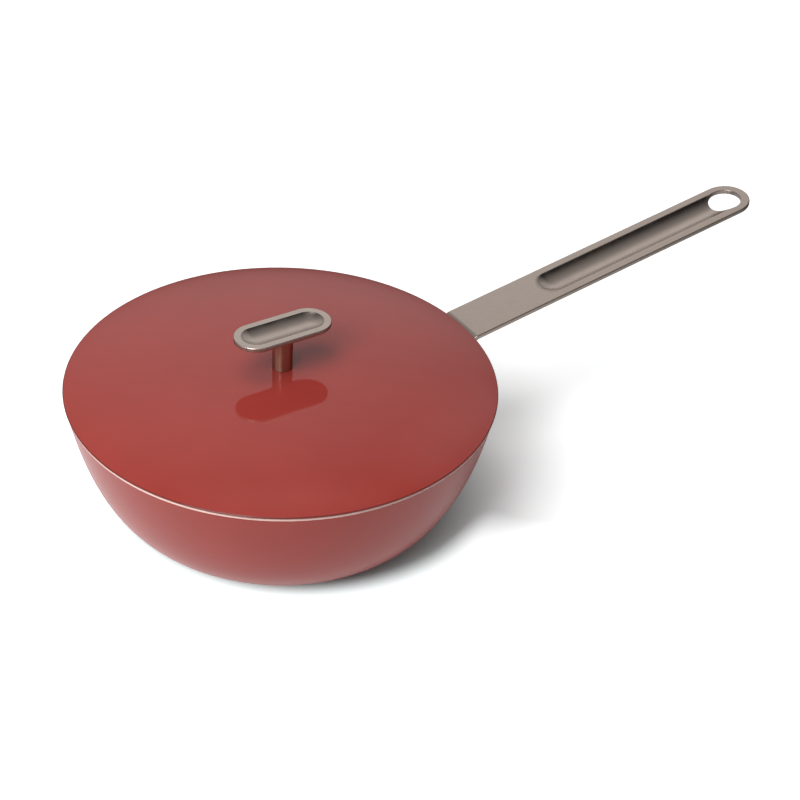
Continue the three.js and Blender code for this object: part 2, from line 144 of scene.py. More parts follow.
class KnobSettings(PropertyGroup):
    """Sizes and finishes of the knob, its post and its screw."""

    length: length("Length", "Of the grip", 2 * KNOB_TOP.x)
    width: length("Width", "Of the grip", 2 * KNOB_TOP.y)
    edge: length("Edge", "Thickness at the grip's edge", 2.8 * MM)
    edge_rounding: length("Edge rounding", "Of the grip's edge", 0.55 * MM)
    dish_width: length("Dish width", "Across the dish", 18.8 * MM)
    dish_depth: length("Dish depth", "Below the grip's top face", 2.2 * MM)
    dish_shell: length("Dish shell", "Metal under the dish", 2 * MM)
    dish_rounding: length("Dish rounding", "Of the dish's edge", 0.5 * MM)
    collar: length("Collar", "Height of the collar on the post", 1.2 * MM)
    spigot: length("Spigot", "Length of the spigot in the post", 8 * MM)
    spigot_wall: length("Spigot wall", "Round the tapped hole", 1.4 * MM)
    screw_hole: length("Screw hole", "Radius of the holes for the screw", 2.8 * MM)
    screw_radius: length("Screw radius", "Of the screw's shank", 2.5 * MM)
    steel: colour("Steel", "Blasted cast steel of the grip and the handle", (0.47, 0.392, 0.345))
    # Steel's own colour with the red lid's reflection painted in, darker and redder than the steel is
    post_steel_and_reflection: colour("Post steel", "Turned post", (0.46, 0.27, 0.2))
    fixings: colour("Fixings", "Washers and screw", (0.60, 0.58, 0.55))
    seal: colour("Seal", "Silicone seal", (0.075, 0.055, 0.050))


class HandleSettings(PropertyGroup):
    """Sizes and finishes of the handle and its rivets."""

    bar_length: length("Bar length", "Along the bar, from over the rim to the tip", 237 * MM)
    width: length("Width", "Of the bar", 33.3 * MM)
    thickness: length("Thickness", "Of the bar", 3 * MM)
    slope: angle("Slope", "How far the bar climbs", 9)
    lift: length("Lift", "Of the bar's top face over the rim", 0.7 * MM)
    neck_radius: length("Neck radius", "Of the bend, at mid thickness", 3 * MM)
    rounding: length("Rounding", "Of the bar's edges", 0.8 * MM)
    scoop_start: length("Scoop start", "Along the bar", 64 * MM)
    scoop_width: length("Scoop width", "Across the scoop", 21.8 * MM)
    scoop_depth: length("Scoop depth", "Below the bar's top face", 2.9 * MM)
    scoop_shell: length("Scoop shell", "Metal under the scoop", 2.4 * MM)
    scoop_blend: length("Scoop blend", "Softening of the scoop's edge", 0.25 * MM)
    shell_blend: length("Shell blend", "Softening where the shell leaves the underside", 1.2 * MM)
    hole_diameter: length("Hole diameter", "Hanging hole", 22 * MM)
    hole_setback: length("Hole setback", "From the tip to the hole's middle", 17 * MM)
    hole_rounding: length("Hole rounding", "Of the hole's edges", 0.4 * MM)
    palm_width: length("Palm width", "Of the palm on the wall", 40 * MM)
    palm_top_drop: length("Palm top drop", "From the rim to the palm's shoulders", 8 * MM)
    palm_drop: length("Palm drop", "From the rim to the palm's foot", 46 * MM)
    rivet_radius: length("Rivet radius", "Of a rivet's shank", 2.75 * MM)
    rivet_head_radius: length("Rivet head radius", "Inside the bowl", 5.5 * MM)
    rivet_head_height: length("Rivet head height", "Inside the bowl", 2 * MM)
    rivet_tail_radius: length("Rivet tail radius", "On the palm", 4.5 * MM)
    rivet_tail_height: length("Rivet tail height", "On the palm", 2.2 * MM)
    rivet_spread: length("Rivet spread", "Of the upper pair, to each side", 11 * MM)
    upper_rivet_drop: length("Upper rivet drop", "Below the rim", 18 * MM)
    lower_rivet_drop: length("Lower rivet drop", "Below the rim", 34 * MM)
    rivet_metal: colour("Rivet metal", "Aluminium rivets", (0.66, 0.64, 0.61))


class StageSettings(PropertyGroup):
    """The floor, the light and the camera."""

    aim: FloatVectorProperty(
        name="Aim",
        description="Point in the middle of the picture",
        default=(0.05612, -0.0449, 0.08093),
        subtype="XYZ",
        unit="LENGTH",
    )
    azimuth: angle("Azimuth", "Of the camera round the wok", -34.95)
    elevation: angle("Elevation", "Of the camera above the horizon", 35.52)
    roll: angle("Roll", "Of the camera about its own axis", 3.46)
    distance: length("Distance", "From the camera to its aim", 1.08653)
    lens: number("Lens", "Focal length in millimetres on a 36 mm sensor", 81)
    key_level: number("Key level", "Share of the plain level from beside the camera", 0.6)
    top_level: number("Top level", "Share of the plain level from overhead", 0.36)
    side_level: number("Side level", "Share of the plain level from low on the left", 0.17)
    sky_level: number("Sky level", "Share of the plain level from all round", 0.2)
    floor_colour: colour("Floor colour", "Pale floor", (0.86, 0.86, 0.86))


class WokSettings(PropertyGroup):
    """All settings of the wok."""

    bowl: PointerProperty(type=BowlSettings)
    lid: PointerProperty(type=LidSettings)
    knob: PointerProperty(type=KnobSettings)
    handle: PointerProperty(type=HandleSettings)
    stage: PointerProperty(type=StageSettings)


class Nodes:
    """Adds nodes to a tree and wires values, or other nodes' outputs, into their inputs."""

    def __init__(self, tree):
        self.tree = tree

    def feed(self, socket, value):
        if isinstance(value, bpy.types.NodeSocket):
            self.tree.links.new(value, socket)
        else:
            socket.default_value = value

    def add(self, kind, inputs=None, **settings):
        node = self.tree.nodes.new(kind)
        for name, value in settings.items():
            setattr(node, name, value)
        for key, value in (inputs or {}).items():
            self.feed(node.inputs[key], value)
        return node

    def maths(self, operation, *values):
        return self.add("ShaderNodeMath", dict(enumerate(values)), operation=operation).outputs[0]

    def vector(self, operation, *values):
        node = self.add("ShaderNodeVectorMath", dict(enumerate(values)), operation=operation)
        return node.outputs["Value" if operation in ("LENGTH", "DOT_PRODUCT") else "Vector"]

    def remap(self, value, low, high, to_low=0.0, to_high=1.0, smooth=False):
        node = self.add("ShaderNodeMapRange", {0: value, 1: low, 2: high, 3: to_low, 4: to_high})
        node.interpolation_type = "SMOOTHSTEP" if smooth else "LINEAR"
        return node.outputs[0]

    def mix(self, factor, first, second):
        return self.add("ShaderNodeMix", {0: factor, 6: first, 7: second}, data_type="RGBA").outputs[2]

    def mix_value(self, factor, first, second):
        return self.add("ShaderNodeMix", {0: factor, 2: first, 3: second}).outputs[0]

    def attribute(self, name):
        return self.add("ShaderNodeAttribute", attribute_name=name).outputs["Fac"]

    def group(self, tree, **inputs):
        node = self.add("ShaderNodeGroup", node_tree=tree)
        for name, value in inputs.items():
            self.feed(node.inputs[name.replace("_", " ")], value)
        return node.outputs


# Outlines and swept pieces


def rounded(corners, steps=ROUNDING_STEPS):
    """Outline points (across, up, edge) from corners (across, up, rounding). Edge is 1 on a rounding."""
    points = []
    for place, (across, up, rounding) in enumerate(corners):
        if rounding == 0:
            points.append((across, up, 0))
            continue
        corner = Vector((across, up))
        back = (Vector(corners[place - 1][:2]) - corner).normalized()
        ahead = (Vector(corners[(place + 1) % len(corners)][:2]) - corner).normalized()
        half = back.angle(ahead) / 2
        run = rounding / math.tan(half)
        centre = corner + (back + ahead).normalized() * (rounding / math.sin(half))
        first = corner + back * run - centre
        last = corner + ahead * run - centre
        sweep = math.pi - 2 * half
        support = run + rounding * ROUNDING_SUPPORT
        points.append((*(corner + back * support), 0))
        for step in range(steps + 1):
            done = step / steps
            spoke = first * math.sin((1 - done) * sweep) + last * math.sin(done * sweep)
            points.append((*(centre + spoke / math.sin(sweep)), 1))
        points.append((*(corner + ahead * support), 0))
    return points


def closed(points):
    return [*points, points[0]]


def ring_outline(inner, outer, low, high, rounding):
    corners = [(inner, low), (outer, low), (outer, high), (inner, high)]
    return closed(rounded([(*corner, rounding) for corner in corners]))


def new_tree(kind, name, inputs, outputs):
    """A new node tree with its sockets, given by label and type, and the nodes to fill it with."""
    tree = bpy.data.node_groups.new(name, kind)
    for in_out, sockets in (("INPUT", inputs), ("OUTPUT", outputs)):
        for label, holds in sockets.items():
            tree.interface.new_socket(label, in_out=in_out, socket_type="NodeSocket" + holds)
    nodes = Nodes(tree)
    return tree, nodes, nodes.add("NodeGroupInput").outputs


def put_out(nodes, geometry, finish, label):
    """Ends a node tree: real geometry, in one finish."""
    real = nodes.add("GeometryNodeRealizeInstances", {"Geometry": geometry}).outputs[0]
    dressed = nodes.add("GeometryNodeSetMaterial", {"Geometry": real, "Material": finish}).outputs[0]
    nodes.add("NodeGroupOutput", {label: dressed})


def sweep_tree():
    """Node tree that sweeps an outline round a bar's axis. With no length it turns it, as a lathe does."""
    name = "Swept outline"
    if name in bpy.data.node_groups:
        return bpy.data.node_groups[name]
    inputs = {"Outline": "Geometry", "Half length": "Float", "Half turn steps": "Int", "Finish": "Material"}
    tree, nodes, given = new_tree("GeometryNodeTree", name, inputs, {"Piece": "Geometry"})
    tree.interface.items_tree["Half length"].subtype = "DISTANCE"
    outline, steps = given["Outline"], given["Half turn steps"]

    rows = nodes.add("GeometryNodeAttributeDomainSize", {"Geometry": outline}).outputs["Point Count"]
    half_columns = nodes.maths("ADD", steps, 1)
    columns = nodes.maths("MULTIPLY", half_columns, 2)
    counts = {"Vertices X": nodes.maths("ADD", columns, 1), "Vertices Y": rows}
    grid = nodes.add("GeometryNodeMeshGrid", counts).outputs["Mesh"]

    index = nodes.add("GeometryNodeInputIndex").outputs[0]
    row = nodes.maths("FLOORED_MODULO", index, rows)
    column = nodes.maths("FLOOR", nodes.maths("DIVIDE", index, rows))
    column = nodes.maths("FLOORED_MODULO", column, columns)
    on_far_end = nodes.maths("GREATER_THAN", column, nodes.maths("SUBTRACT", half_columns, 0.5))
    step = nodes.maths("SUBTRACT", column, nodes.maths("MULTIPLY", on_far_end, half_columns))
    half_turns = nodes.maths("SUBTRACT", on_far_end, 0.5)
    half_turns = nodes.maths("ADD", nodes.maths("DIVIDE", step, steps), half_turns)
    turn = nodes.maths("MULTIPLY", half_turns, math.pi)
    end = nodes.maths("MULTIPLY", given["Half length"], nodes.maths("MULTIPLY_ADD", on_far_end, -2, 1))

    def from_outline(kind, value):
        sampled = {"Geometry": outline, "Value": value, "Index": row}
        return nodes.add("GeometryNodeSampleIndex", sampled, data_type=kind).outputs["Value"]

    place = from_outline("FLOAT_VECTOR", nodes.add("GeometryNodeInputPosition").outputs[0])
    place = nodes.add("ShaderNodeSeparateXYZ", {0: place}).outputs
    edge = nodes.add("GeometryNodeInputNamedAttribute", {"Name": "edge"}, data_type="FLOAT").outputs[0]
    along = nodes.maths("MULTIPLY_ADD", place["X"], nodes.maths("COSINE", turn), end)
    aside = nodes.maths("MULTIPLY", place["X"], nodes.maths("SINE", turn))
    position = nodes.add("ShaderNodeCombineXYZ", {0: along, 1: aside, 2: place["Z"]}).outputs[0]

    stored = {0: grid, "Name": "edge", "Value": from_outline("FLOAT", edge)}
    piece = nodes.add("GeometryNodeStoreNamedAttribute", stored, data_type="FLOAT").outputs[0]
    for kind, values in (
        ("GeometryNodeSetPosition", {"Position": position}),
        ("GeometryNodeMergeByDistance", {"Distance": MERGE_DISTANCE}),
        ("GeometryNodeSetShadeSmooth", {}),
    ):
        piece = nodes.add(kind, {"Geometry": piece, **values}).outputs[0]
    put_out(nodes, piece, given["Finish"], "Piece")
    return tree


def seat_tree():
    """Node tree that sets a copy of a fixing on each point, turned as the point's own turn says."""
    name = "Seated fixings"
    if name in bpy.data.node_groups:
        return bpy.data.node_groups[name]
    inputs = {"Seats": "Geometry", "Fixing": "Object", "Finish": "Material"}
    tree, nodes, given = new_tree("GeometryNodeTree", name, inputs, {"Pieces": "Geometry"})
    fixing = nodes.add("GeometryNodeObjectInfo", {"Object": given["Fixing"]}).outputs["Geometry"]
    turn = nodes.add("GeometryNodeInputNamedAttribute", {"Name": "turn"}, data_type="FLOAT_VECTOR")
    rotation = nodes.add("FunctionNodeEulerToRotation", {0: turn.outputs[0]}).outputs[0]
    seated = {"Points": given["Seats"], "Instance": fixing, "Rotation": rotation}
    pieces = nodes.add("GeometryNodeInstanceOnPoints", seated).outputs[0]
    put_out(nodes, pieces, given["Finish"], "Pieces")
    return tree


def new_mesh(name, places, edges=(), faces=()):
    mesh = bpy.data.meshes.new(name)
    mesh.from_pydata(places, edges, faces)
    return mesh


def link_object(name, data):
    piece = bpy.data.objects.new(name, data)
    bpy.context.scene.collection.objects.link(piece)
    return piece


def mark(mesh, name, values):
    """Stores a value for each point of a mesh, for its finish to read."""
    mesh.attributes.new(name, "FLOAT", "POINT").data.foreach_set("value", values)


def made_by(tree, source, inputs):
    """The plain mesh that a node tree makes from a source object, which is removed."""
    modifier = source.modifiers.new(tree.name, "NODES")
    modifier.node_group = tree
    for item in tree.interface.items_tree:
        if item.in_out == "INPUT" and item.name in inputs:
            modifier[item.identifier] = inputs[item.name]
    depsgraph = bpy.context.evaluated_depsgraph_get()
    mesh = bpy.data.meshes.new_from_object(source.evaluated_get(depsgraph))
    bpy.data.objects.remove(source)
    # A source without a finish of its own leaves an empty first slot
    if mesh.materials[0] is None:
        mesh.materials.pop(index=0)
    return mesh


def swept(name, outline, finish, half_length=0.0, half_turn_steps=48):
    """A piece swept from outline points (across, up, edge)."""
    places = [(across, 0, up) for across, up, _ in outline]
    mesh = new_mesh(name + "_outline", places, [(i, i + 1) for i in range(len(places) - 1)])
    mark(mesh, "edge", [edge for _, _, edge in outline])
    inputs = {"Half length": half_length, "Half turn steps": half_turn_steps, "Finish": finish}
    made = made_by(sweep_tree(), link_object(name + "_outline", mesh), inputs)
    made.name = name
    made.set_sharp_from_angle(angle=SHARP_ANGLE)
    return link_object(name, made)


def joined(piece, other, operation):
    """Joins another solid to a piece, or cuts it out, and removes it."""
    modifier = piece.modifiers.new(operation, "BOOLEAN")
    modifier.operation = operation
    modifier.solver = "EXACT"
    modifier.object = other
    depsgraph = bpy.context.evaluated_depsgraph_get()
    mesh = bpy.data.meshes.new_from_object(piece.evaluated_get(depsgraph))
    piece.modifiers.remove(modifier)
    mesh.set_sharp_from_angle(angle=SHARP_ANGLE)
    piece.data = mesh
    bpy.data.objects.remove(other)


def mark_sides(mesh, recess_start, recess_end, recess_width):
    """Marks how upright the surface stands at each point, 0 where it is level and 1 on a side.

    The hollow of a long round-ended recess in the top face is marked too, by the way that it faces: from 1
    for slopes that the photo's light leaves dark to -1 for those that it catches.
    """
    flat_bottom_shade = 0.3
    upright = []
    painted_slope_light = []
    for point in mesh.vertices:
        past = max(recess_start - point.co.x, 0, point.co.x - recess_end)
        hollow = point.normal.z > 0 and math.hypot(past, point.co.y) < recess_width / 2
        # Painted shade on the flat bottom and on slopes facing -Y and -X, painted highlight on slopes
        # facing +Y and +X
        unlit = flat_bottom_shade - 2 * point.normal.y - point.normal.x
        upright.append(1 - abs(point.normal.z))
        painted_slope_light.append(min(max(unlit, -1), 1) if hollow else 0)
    mark(mesh, "side", upright)
    # The recess mark carries painted shade above 0 and painted highlight below 0
    mark(mesh, "recess", painted_slope_light)


def stand_in(piece, body, slot, *nodes):
    """The piece rides on a body and stands for CAD nodes, which it hides. The slot is not used."""
    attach(piece, body)
    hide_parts(*nodes)


# Finishes


def shared_group(name, inputs, outputs):
    """A new shader node group with its value sockets, and the nodes to fill it with."""
    sockets = [dict.fromkeys(labels, "Float") for labels in (inputs, outputs)]
    tree, nodes, given = new_tree("ShaderNodeTree", name, *sockets)
    for label, default in inputs.items():
        tree.interface.items_tree[label].default_value = default
    return tree, nodes, given


def object_place(nodes):
    return nodes.add("ShaderNodeTexCoord").outputs["Object"]


def noise(nodes, place, size, detail=2.0, roughness=0.5):
    """Noise from 0 to 1 whose grains are about a size across."""
    scaled = nodes.vector("SCALE", place)
    nodes.feed(scaled.node.inputs["Scale"], nodes.maths("DIVIDE", 1.0, size))
    made = {"Vector": scaled, "Scale": 1.0, "Detail": detail, "Roughness": roughness}
    return nodes.add("ShaderNodeTexNoise", made).outputs[0]


def grain_group():
    """Fine even grain, as blasting or a sprayed coating leaves it, and broad faint clouds in it."""
    name = "Fine grain"
    if name in bpy.data.node_groups:
        return bpy.data.node_groups[name]
    inputs = {"Grain": 0.3 * MM, "Cloud": 14 * MM}
    tree, nodes, given = shared_group(name, inputs, ("Height", "Clouds"))
    place = object_place(nodes)
    height = noise(nodes, place, given["Grain"], detail=3.0, roughness=0.6)
    clouds = nodes.remap(noise(nodes, place, given["Cloud"], detail=3.0), 0.3, 0.7)
    nodes.add("NodeGroupOutput", {"Height": height, "Clouds": clouds})
    return tree


def turned_group():
    """Marks that a tool leaves round the upright axis when a piece is turned."""
    name = "Turned marks"
    if name in bpy.data.node_groups:
        return bpy.data.node_groups[name]
    tree, nodes, given = shared_group(name, {"Pitch": 0.6 * MM}, ("Height",))
    place = object_place(nodes)
    level = nodes.vector("MULTIPLY", place, (1, 1, 0))
    radius = nodes.vector("LENGTH", level)
    up = nodes.add("ShaderNodeSeparateXYZ", {0: place}).outputs["Z"]
    across = nodes.maths("DIVIDE", nodes.maths("ADD", radius, up), given["Pitch"])
    made = {"W": across, "Scale": 1.0, "Detail": 2.0}
    marks = nodes.add("ShaderNodeTexNoise", made, noise_dimensions="1D")
    nodes.add("NodeGroupOutput", {"Height": marks.outputs[0]})
    return tree


def wear_group():
    """A mask of edges that handling has rubbed brighter, broken up by fine noise."""
    name = "Rubbed edges"
    if name in bpy.data.node_groups:
        return bpy.data.node_groups[name]
    tree, nodes, given = shared_group(name, {"Patch": 3 * MM}, ("Mask",))
    patches = nodes.remap(noise(nodes, object_place(nodes), given["Patch"]), 0.3, 0.7, 0.35, 1.0)
    nodes.add("NodeGroupOutput", {"Mask": nodes.maths("MULTIPLY", nodes.attribute("edge"), patches)})
    return tree


def new_finish(name):
    """A new material, its nodes and its shader."""
    material = bpy.data.materials.new(name)
    material.use_nodes = True
    return material, Nodes(material.node_tree), material.node_tree.nodes["Principled BSDF"]


def shade(colour, factor):
    return (*(min(1.0, channel * factor) for channel in colour), 1.0)


def mottled(nodes, mask, colour, darkest, brightest):
    """A colour that a mask takes from its darkest shade to its brightest."""
    return nodes.mix(mask, shade(colour, darkest), shade(colour, brightest))


def bump(nodes, shader, height, distance, strength):
    relief = {"Height": height, "Distance": distance, "Strength": strength}
    nodes.feed(shader.inputs["Normal"], nodes.add("ShaderNodeBump", relief).outputs[0])


def coated(name, colour, grain, grain_depth, roughness, spread, gloss_level=0.5, ground_coat=None):
    """A sprayed and fired coating: even colour with faint clouds, and a fine skin.

    A dark ground coat shows through on edges, where the coating is thin; it also stands for painted shade
    on the edge.
    """
    ground_share = 0.6
    material, nodes, shader = new_finish(name)
    shader.inputs["Specular IOR Level"].default_value = gloss_level
    skin = nodes.group(grain_group(), Grain=grain, Cloud=38 * MM)
    body = mottled(nodes, skin["Clouds"], colour, darkest=0.965, brightest=1.035)
    if ground_coat is not None:
        # Ground coat on thin edges, also painted shade
        thin = nodes.maths("MULTIPLY", nodes.attribute("edge"), ground_share)
        body = nodes.mix(thin, body, (*ground_coat, 1))
    nodes.feed(shader.inputs["Base Color"], body)
    gloss = nodes.remap(skin["Clouds"], 0, 1, roughness - spread, roughness + spread)
    nodes.feed(shader.inputs["Roughness"], gloss)
    bump(nodes, shader, skin["Height"], grain_depth, 0.5)
    return material


def blasted(name, colour, roughness):
    """Cast metal blasted to an even satin. Edges are rubbed brighter; upright sides, left as cast, are
    rougher and painted darker, as shade.

    The shading of a hollow is partly painted, darker and brighter as its marks say, to match the photo.
    """
    edge_share = 0.35
    edge_polish = 0.06
    painted_shade_share = 0.9
    cast_roughness = 0.16
    edge_colour = shade(colour, 1.3)
    side_shade_colour = shade(colour, 0.86)
    painted_shade_colour = shade(colour, 0.5)
    painted_highlight_colour = shade(colour, 1.5)
    material, nodes, shader = new_finish(name)
    shader.inputs["Metallic"].default_value = 1
    skin = nodes.group(grain_group(), Grain=0.32 * MM, Cloud=9 * MM)
    worn = nodes.group(wear_group(), Patch=2.5 * MM)["Mask"]
    upright_side = nodes.remap(nodes.attribute("side"), 0.35, 0.7, smooth=True)
    painted_slope_light = nodes.attribute("recess")
    speckle = nodes.remap(skin["Height"], 0.35, 0.65)
    body = mottled(nodes, speckle, colour, darkest=0.93, brightest=1.06)
    body = nodes.mix(nodes.maths("MULTIPLY", worn, edge_share), body, edge_colour)
    # Upright sides painted darker: painted shade
    body = nodes.mix(upright_side, body, side_shade_colour)
    # Painted shade and painted highlight on the hollow's slopes, by the way that they face
    body = nodes.mix(nodes.maths("MULTIPLY", painted_slope_light, painted_shade_share), body, painted_shade_colour)
    body = nodes.mix(nodes.maths("MULTIPLY", painted_slope_light, -1.0), body, painted_highlight_colour)
    nodes.feed(shader.inputs["Base Color"], body)
    gloss = nodes.remap(skin["Clouds"], 0, 1, roughness - 0.03, roughness + 0.05)
    gloss = nodes.maths("SUBTRACT", gloss, nodes.maths("MULTIPLY", worn, edge_polish))
    gloss = nodes.maths("MULTIPLY_ADD", upright_side, cast_roughness, gloss)
    nodes.feed(shader.inputs["Roughness"], gloss)
    bump(nodes, shader, skin["Height"], 0.03 * MM, 0.35)
    return material


def turned(name, colour, pitch, depth, roughness, metallic=1.0, stretch=0.0):
    """Metal turned on a lathe, with fine tool marks. Stretch draws its highlights out across the marks."""
    material, nodes, shader = new_finish(name)
    shader.inputs["Metallic"].default_value = metallic
    shader.inputs["Anisotropic"].default_value = stretch
    shader.inputs["Anisotropic Rotation"].default_value = QUARTER_TURN
    marks = nodes.group(turned_group(), Pitch=pitch)["Height"]
    clouds = nodes.group(grain_group(), Grain=0.5 * MM, Cloud=6 * MM)["Clouds"]
    body = mottled(nodes, marks, colour, darkest=0.9, brightest=1.1)
    nodes.feed(shader.inputs["Base Color"], body)
    gloss = nodes.remap(clouds, 0, 1, roughness - 0.03, roughness + 0.04)
    nodes.feed(shader.inputs["Roughness"], gloss)
    bump(nodes, shader, marks, depth, 0.4)
    return material


def moulded(name, colour, roughness):
    """Moulded silicone: matte, with a faint bloom."""
    material, nodes, shader = new_finish(name)
    skin = nodes.group(grain_group(), Grain=0.2 * MM, Cloud=4 * MM)
    bloom = skin["Clouds"]
    body = mottled(nodes, bloom, colour, darkest=0.9, brightest=1.25)
    nodes.feed(shader.inputs["Base Color"], body)
    gloss = nodes.remap(bloom, 0, 1, roughness, roughness + 0.12)
    nodes.feed(shader.inputs["Roughness"], gloss)
    bump(nodes, shader, skin["Height"], 0.02 * MM, 0.4)
    return material


def finish_named(name, make, colour, **values):
    """The finish of that name, made the first time that it is asked for."""
    return bpy.data.materials.get(name) or make(name, colour, **values)


# Bowl and base plate


class BowlSide:
    """The curve of the bowl's outer side, from the edge of the base up to the bevel on the rim."""

    def __init__(self, bowl):
        rim_radius = bowl.rim_diameter / 2
        base_radius = bowl.base_diameter / 2
        bevel_foot = bowl.rim_height - bowl.rim_bevel
        pull_across = bowl.rim_pull * math.sin(bowl.rim_flare)
        pull_down = bowl.rim_pull * math.cos(bowl.rim_flare)
        self.bowl = bowl
        self.poles = np.array(
            [
                (base_radius, bowl.plate_proud),
                (base_radius + bowl.base_pull, bowl.plate_proud),
                (rim_radius - pull_across, bevel_foot - pull_down),
                (rim_radius, bevel_foot),
            ]
        )

    def point(self, shares):
        t = np.atleast_1d(shares)[:, None]
        a, b, c, d = self.poles
        return a * (1 - t) ** 3 + 3 * b * t * (1 - t) ** 2 + 3 * c * t**2 * (1 - t) + d * t**3

    def along(self, shares):
        t = np.atleast_1d(shares)[:, None]
        a, b, c, d = self.poles
        slope = (b - a) * (1 - t) ** 2 + 2 * (c - b) * t * (1 - t) + (d - c) * t**2
        return slope / np.linalg.norm(slope, axis=1, keepdims=True)

    def beside(self, shares, distance):
        """Points moved out along the side's normal, or inwards where the distance is negative."""
        along = self.along(shares)
        outwards = np.stack([along[:, 1], -along[:, 0]], axis=1)
        return self.point(shares) + outwards * np.reshape(distance, (-1, 1))

    def thickness(self, shares):
        return self.bowl.floor + (self.bowl.wall - self.bowl.floor) * np.atleast_1d(shares)

    def inside(self, shares):
        return self.beside(shares, -self.thickness(shares))

    def share_at(self, height):
        """The share of the way up at which the side reaches a height."""
        shares = np.linspace(0, 1, 4000)
        return np.interp(height, self.point(shares)[:, 1], shares)


def bowl_outline(bowl):
    side = BowlSide(bowl)
    shares = np.linspace(0, 1, 44)
    outside = [(*point, 0) for point in side.point(shares[:-1])]
    inside = [(*point, 0) for point in side.inside(shares[::-1])]
    rim_radius = bowl.rim_diameter / 2
    recess_radius = bowl.plate_diameter / 2 + bowl.fit_gap
    recess_top = bowl.plate_thickness + bowl.fit_gap
    edge = 0.25 * MM
    corners = [
        (0, recess_top, 0),
        (recess_radius, recess_top, edge),
        (recess_radius, bowl.plate_proud, edge),
        *outside,
        (rim_radius, bowl.rim_height - bowl.rim_bevel, edge),
        (rim_radius - bowl.rim_lean, bowl.rim_height, edge),
        (inside[0][0], bowl.rim_height, edge),
        *inside,
        (0, bowl.plate_proud + bowl.floor, 0),
    ]
    return rounded(corners)


def line_bowl(piece, bowl, lining, bare_metal):
    """Gives the bowl's inner faces the lining, and its rim the bare metal."""
    for finish in (lining, bare_metal):
        piece.data.materials.append(finish)
    lining_slot = 1
    rim_slot = 2
    side = BowlSide(bowl)
    shares = np.linspace(0, 1, 400)
    middle = side.beside(shares, -side.thickness(shares) / 2)
    bevel_foot = bowl.rim_height - bowl.rim_bevel
    base_middle = bowl.plate_proud + bowl.floor / 2
    for face in piece.data.polygons:
        radius = math.hypot(face.center.x, face.center.y)
        on_rim = face.center.z > bevel_foot
        in_floor = radius < bowl.base_diameter / 2 and face.center.z > base_middle
        in_wall = radius < np.interp(face.center.z, middle[:, 1], middle[:, 0])
        if on_rim:
            face.material_index = rim_slot
        elif in_floor or (in_wall and face.center.z > base_middle):
            face.material_index = lining_slot


def plate_outline(bowl):
    radius = bowl.plate_diameter / 2
    groove_half = 0.7 * MM
    groove_foot = 0.35 * MM
    chamfer = 0.4 * MM
    edge = 0.15 * MM
    grooves = np.linspace(0.2, 0.92, 10) * radius
    corners = [(0, 0, 0)]
    for groove in grooves:
        corners += [
            (groove - groove_half, 0, edge),
            (groove - groove_foot, bowl.plate_groove, edge),
            (groove + groove_foot, bowl.plate_groove, edge),
            (groove + groove_half, 0, edge),
        ]
    corners += [
        (radius - chamfer, 0, edge),
        (radius, chamfer, edge),
        (radius, bowl.plate_thickness, edge),
        (0, bowl.plate_thickness, 0),
    ]
    return rounded(corners, steps=3)


# Lid and locating ring


def lid_height(lid, radius):
    """Height of the lid's outer face at a radius."""
    dome_radius = LID_TOP.x + lid.dome_reach

    def curve(across):
        return np.sqrt(1 - (np.asarray(across) / dome_radius) ** lid.fullness)

    at_edge = curve(LID_TOP.x)
    return LID_FOOT.z + lid.edge_height + lid.dome * (curve(radius) - at_edge) / (1 - at_edge)


def lid_outline(lid, hole_radius):
    ring_gap = 0.3 * MM
    edge_width = 1.6 * MM
    under_rounding = 0.2 * MM
    foot_rounding = 0.3 * MM
    lost_to_rounding = 0.6 * lid.edge_rounding
    edge_inside = RING_TOP.x + ring_gap
    turns = np.linspace(0, 1, 64)

    def dome(last):
        first_turn = math.asin(hole_radius / LID_TOP.x)
        return LID_TOP.x * np.sin(first_turn + (math.asin(last / LID_TOP.x) - first_turn) * turns)

    under = [(radius, lid_height(lid, radius) - lid.sheet, 0) for radius in dome(edge_inside)]
    over = [(radius, lid_height(lid, radius), 0) for radius in dome(LID_TOP.x - edge_width)[::-1]]
    corners = [
        *under[:-1],
        (*under[-1][:2], under_rounding),
        (edge_inside, LID_FOOT.z, foot_rounding),
        (LID_TOP.x - lid.edge_undercut, LID_FOOT.z, foot_rounding),
        (LID_TOP.x + lost_to_rounding, LID_FOOT.z + lid.edge_height, lid.edge_rounding),
        *over,
    ]
    points = rounded(corners)
    # Marks the outer band that takes the dark ground coat and painted shade
    return closed([(across, up, float(across > LID_TOP.x - lid.dark_edge)) for across, up, _ in points])


def ring_under_lid_outline(lid, gap):
    outer = RING_TOP.x
    inner = outer - lid.ring_sheet
    flange_inner = outer - lid.ring_flange

    def under_lid(radius, drop, rounding):
        return (radius, float(lid_height(lid, radius)) - lid.sheet - gap - drop, rounding)

    edge = 0.35 * MM
    bend_outside = 1.4 * MM
    bend_inside = 0.6 * MM
    corners = [
        (inner, RING_FOOT.z, edge),
        (outer, RING_FOOT.z, edge),
        under_lid(outer, 0, bend_outside),
        under_lid((inner + flange_inner) / 2, 0, 0),
        under_lid(flange_inner, 0, edge),
        under_lid(flange_inner, lid.ring_sheet, edge),
        under_lid((inner + flange_inner) / 2, lid.ring_sheet, 0),
        under_lid(inner, lid.ring_sheet, bend_inside),
    ]
    return closed(rounded(corners))


# Knob and what holds it


def scoop_radius(width, depth):
    """Radius of the arc across a scoop of that width and depth."""
    return (width**2 / 4 + depth**2) / (2 * depth)


def arc_below(radius, centre, turns):
    """Points of an arc that hangs under its centre, at turns from its lowest point."""
    return [(radius * math.sin(turn), centre - radius * math.cos(turn), 0) for turn in turns]


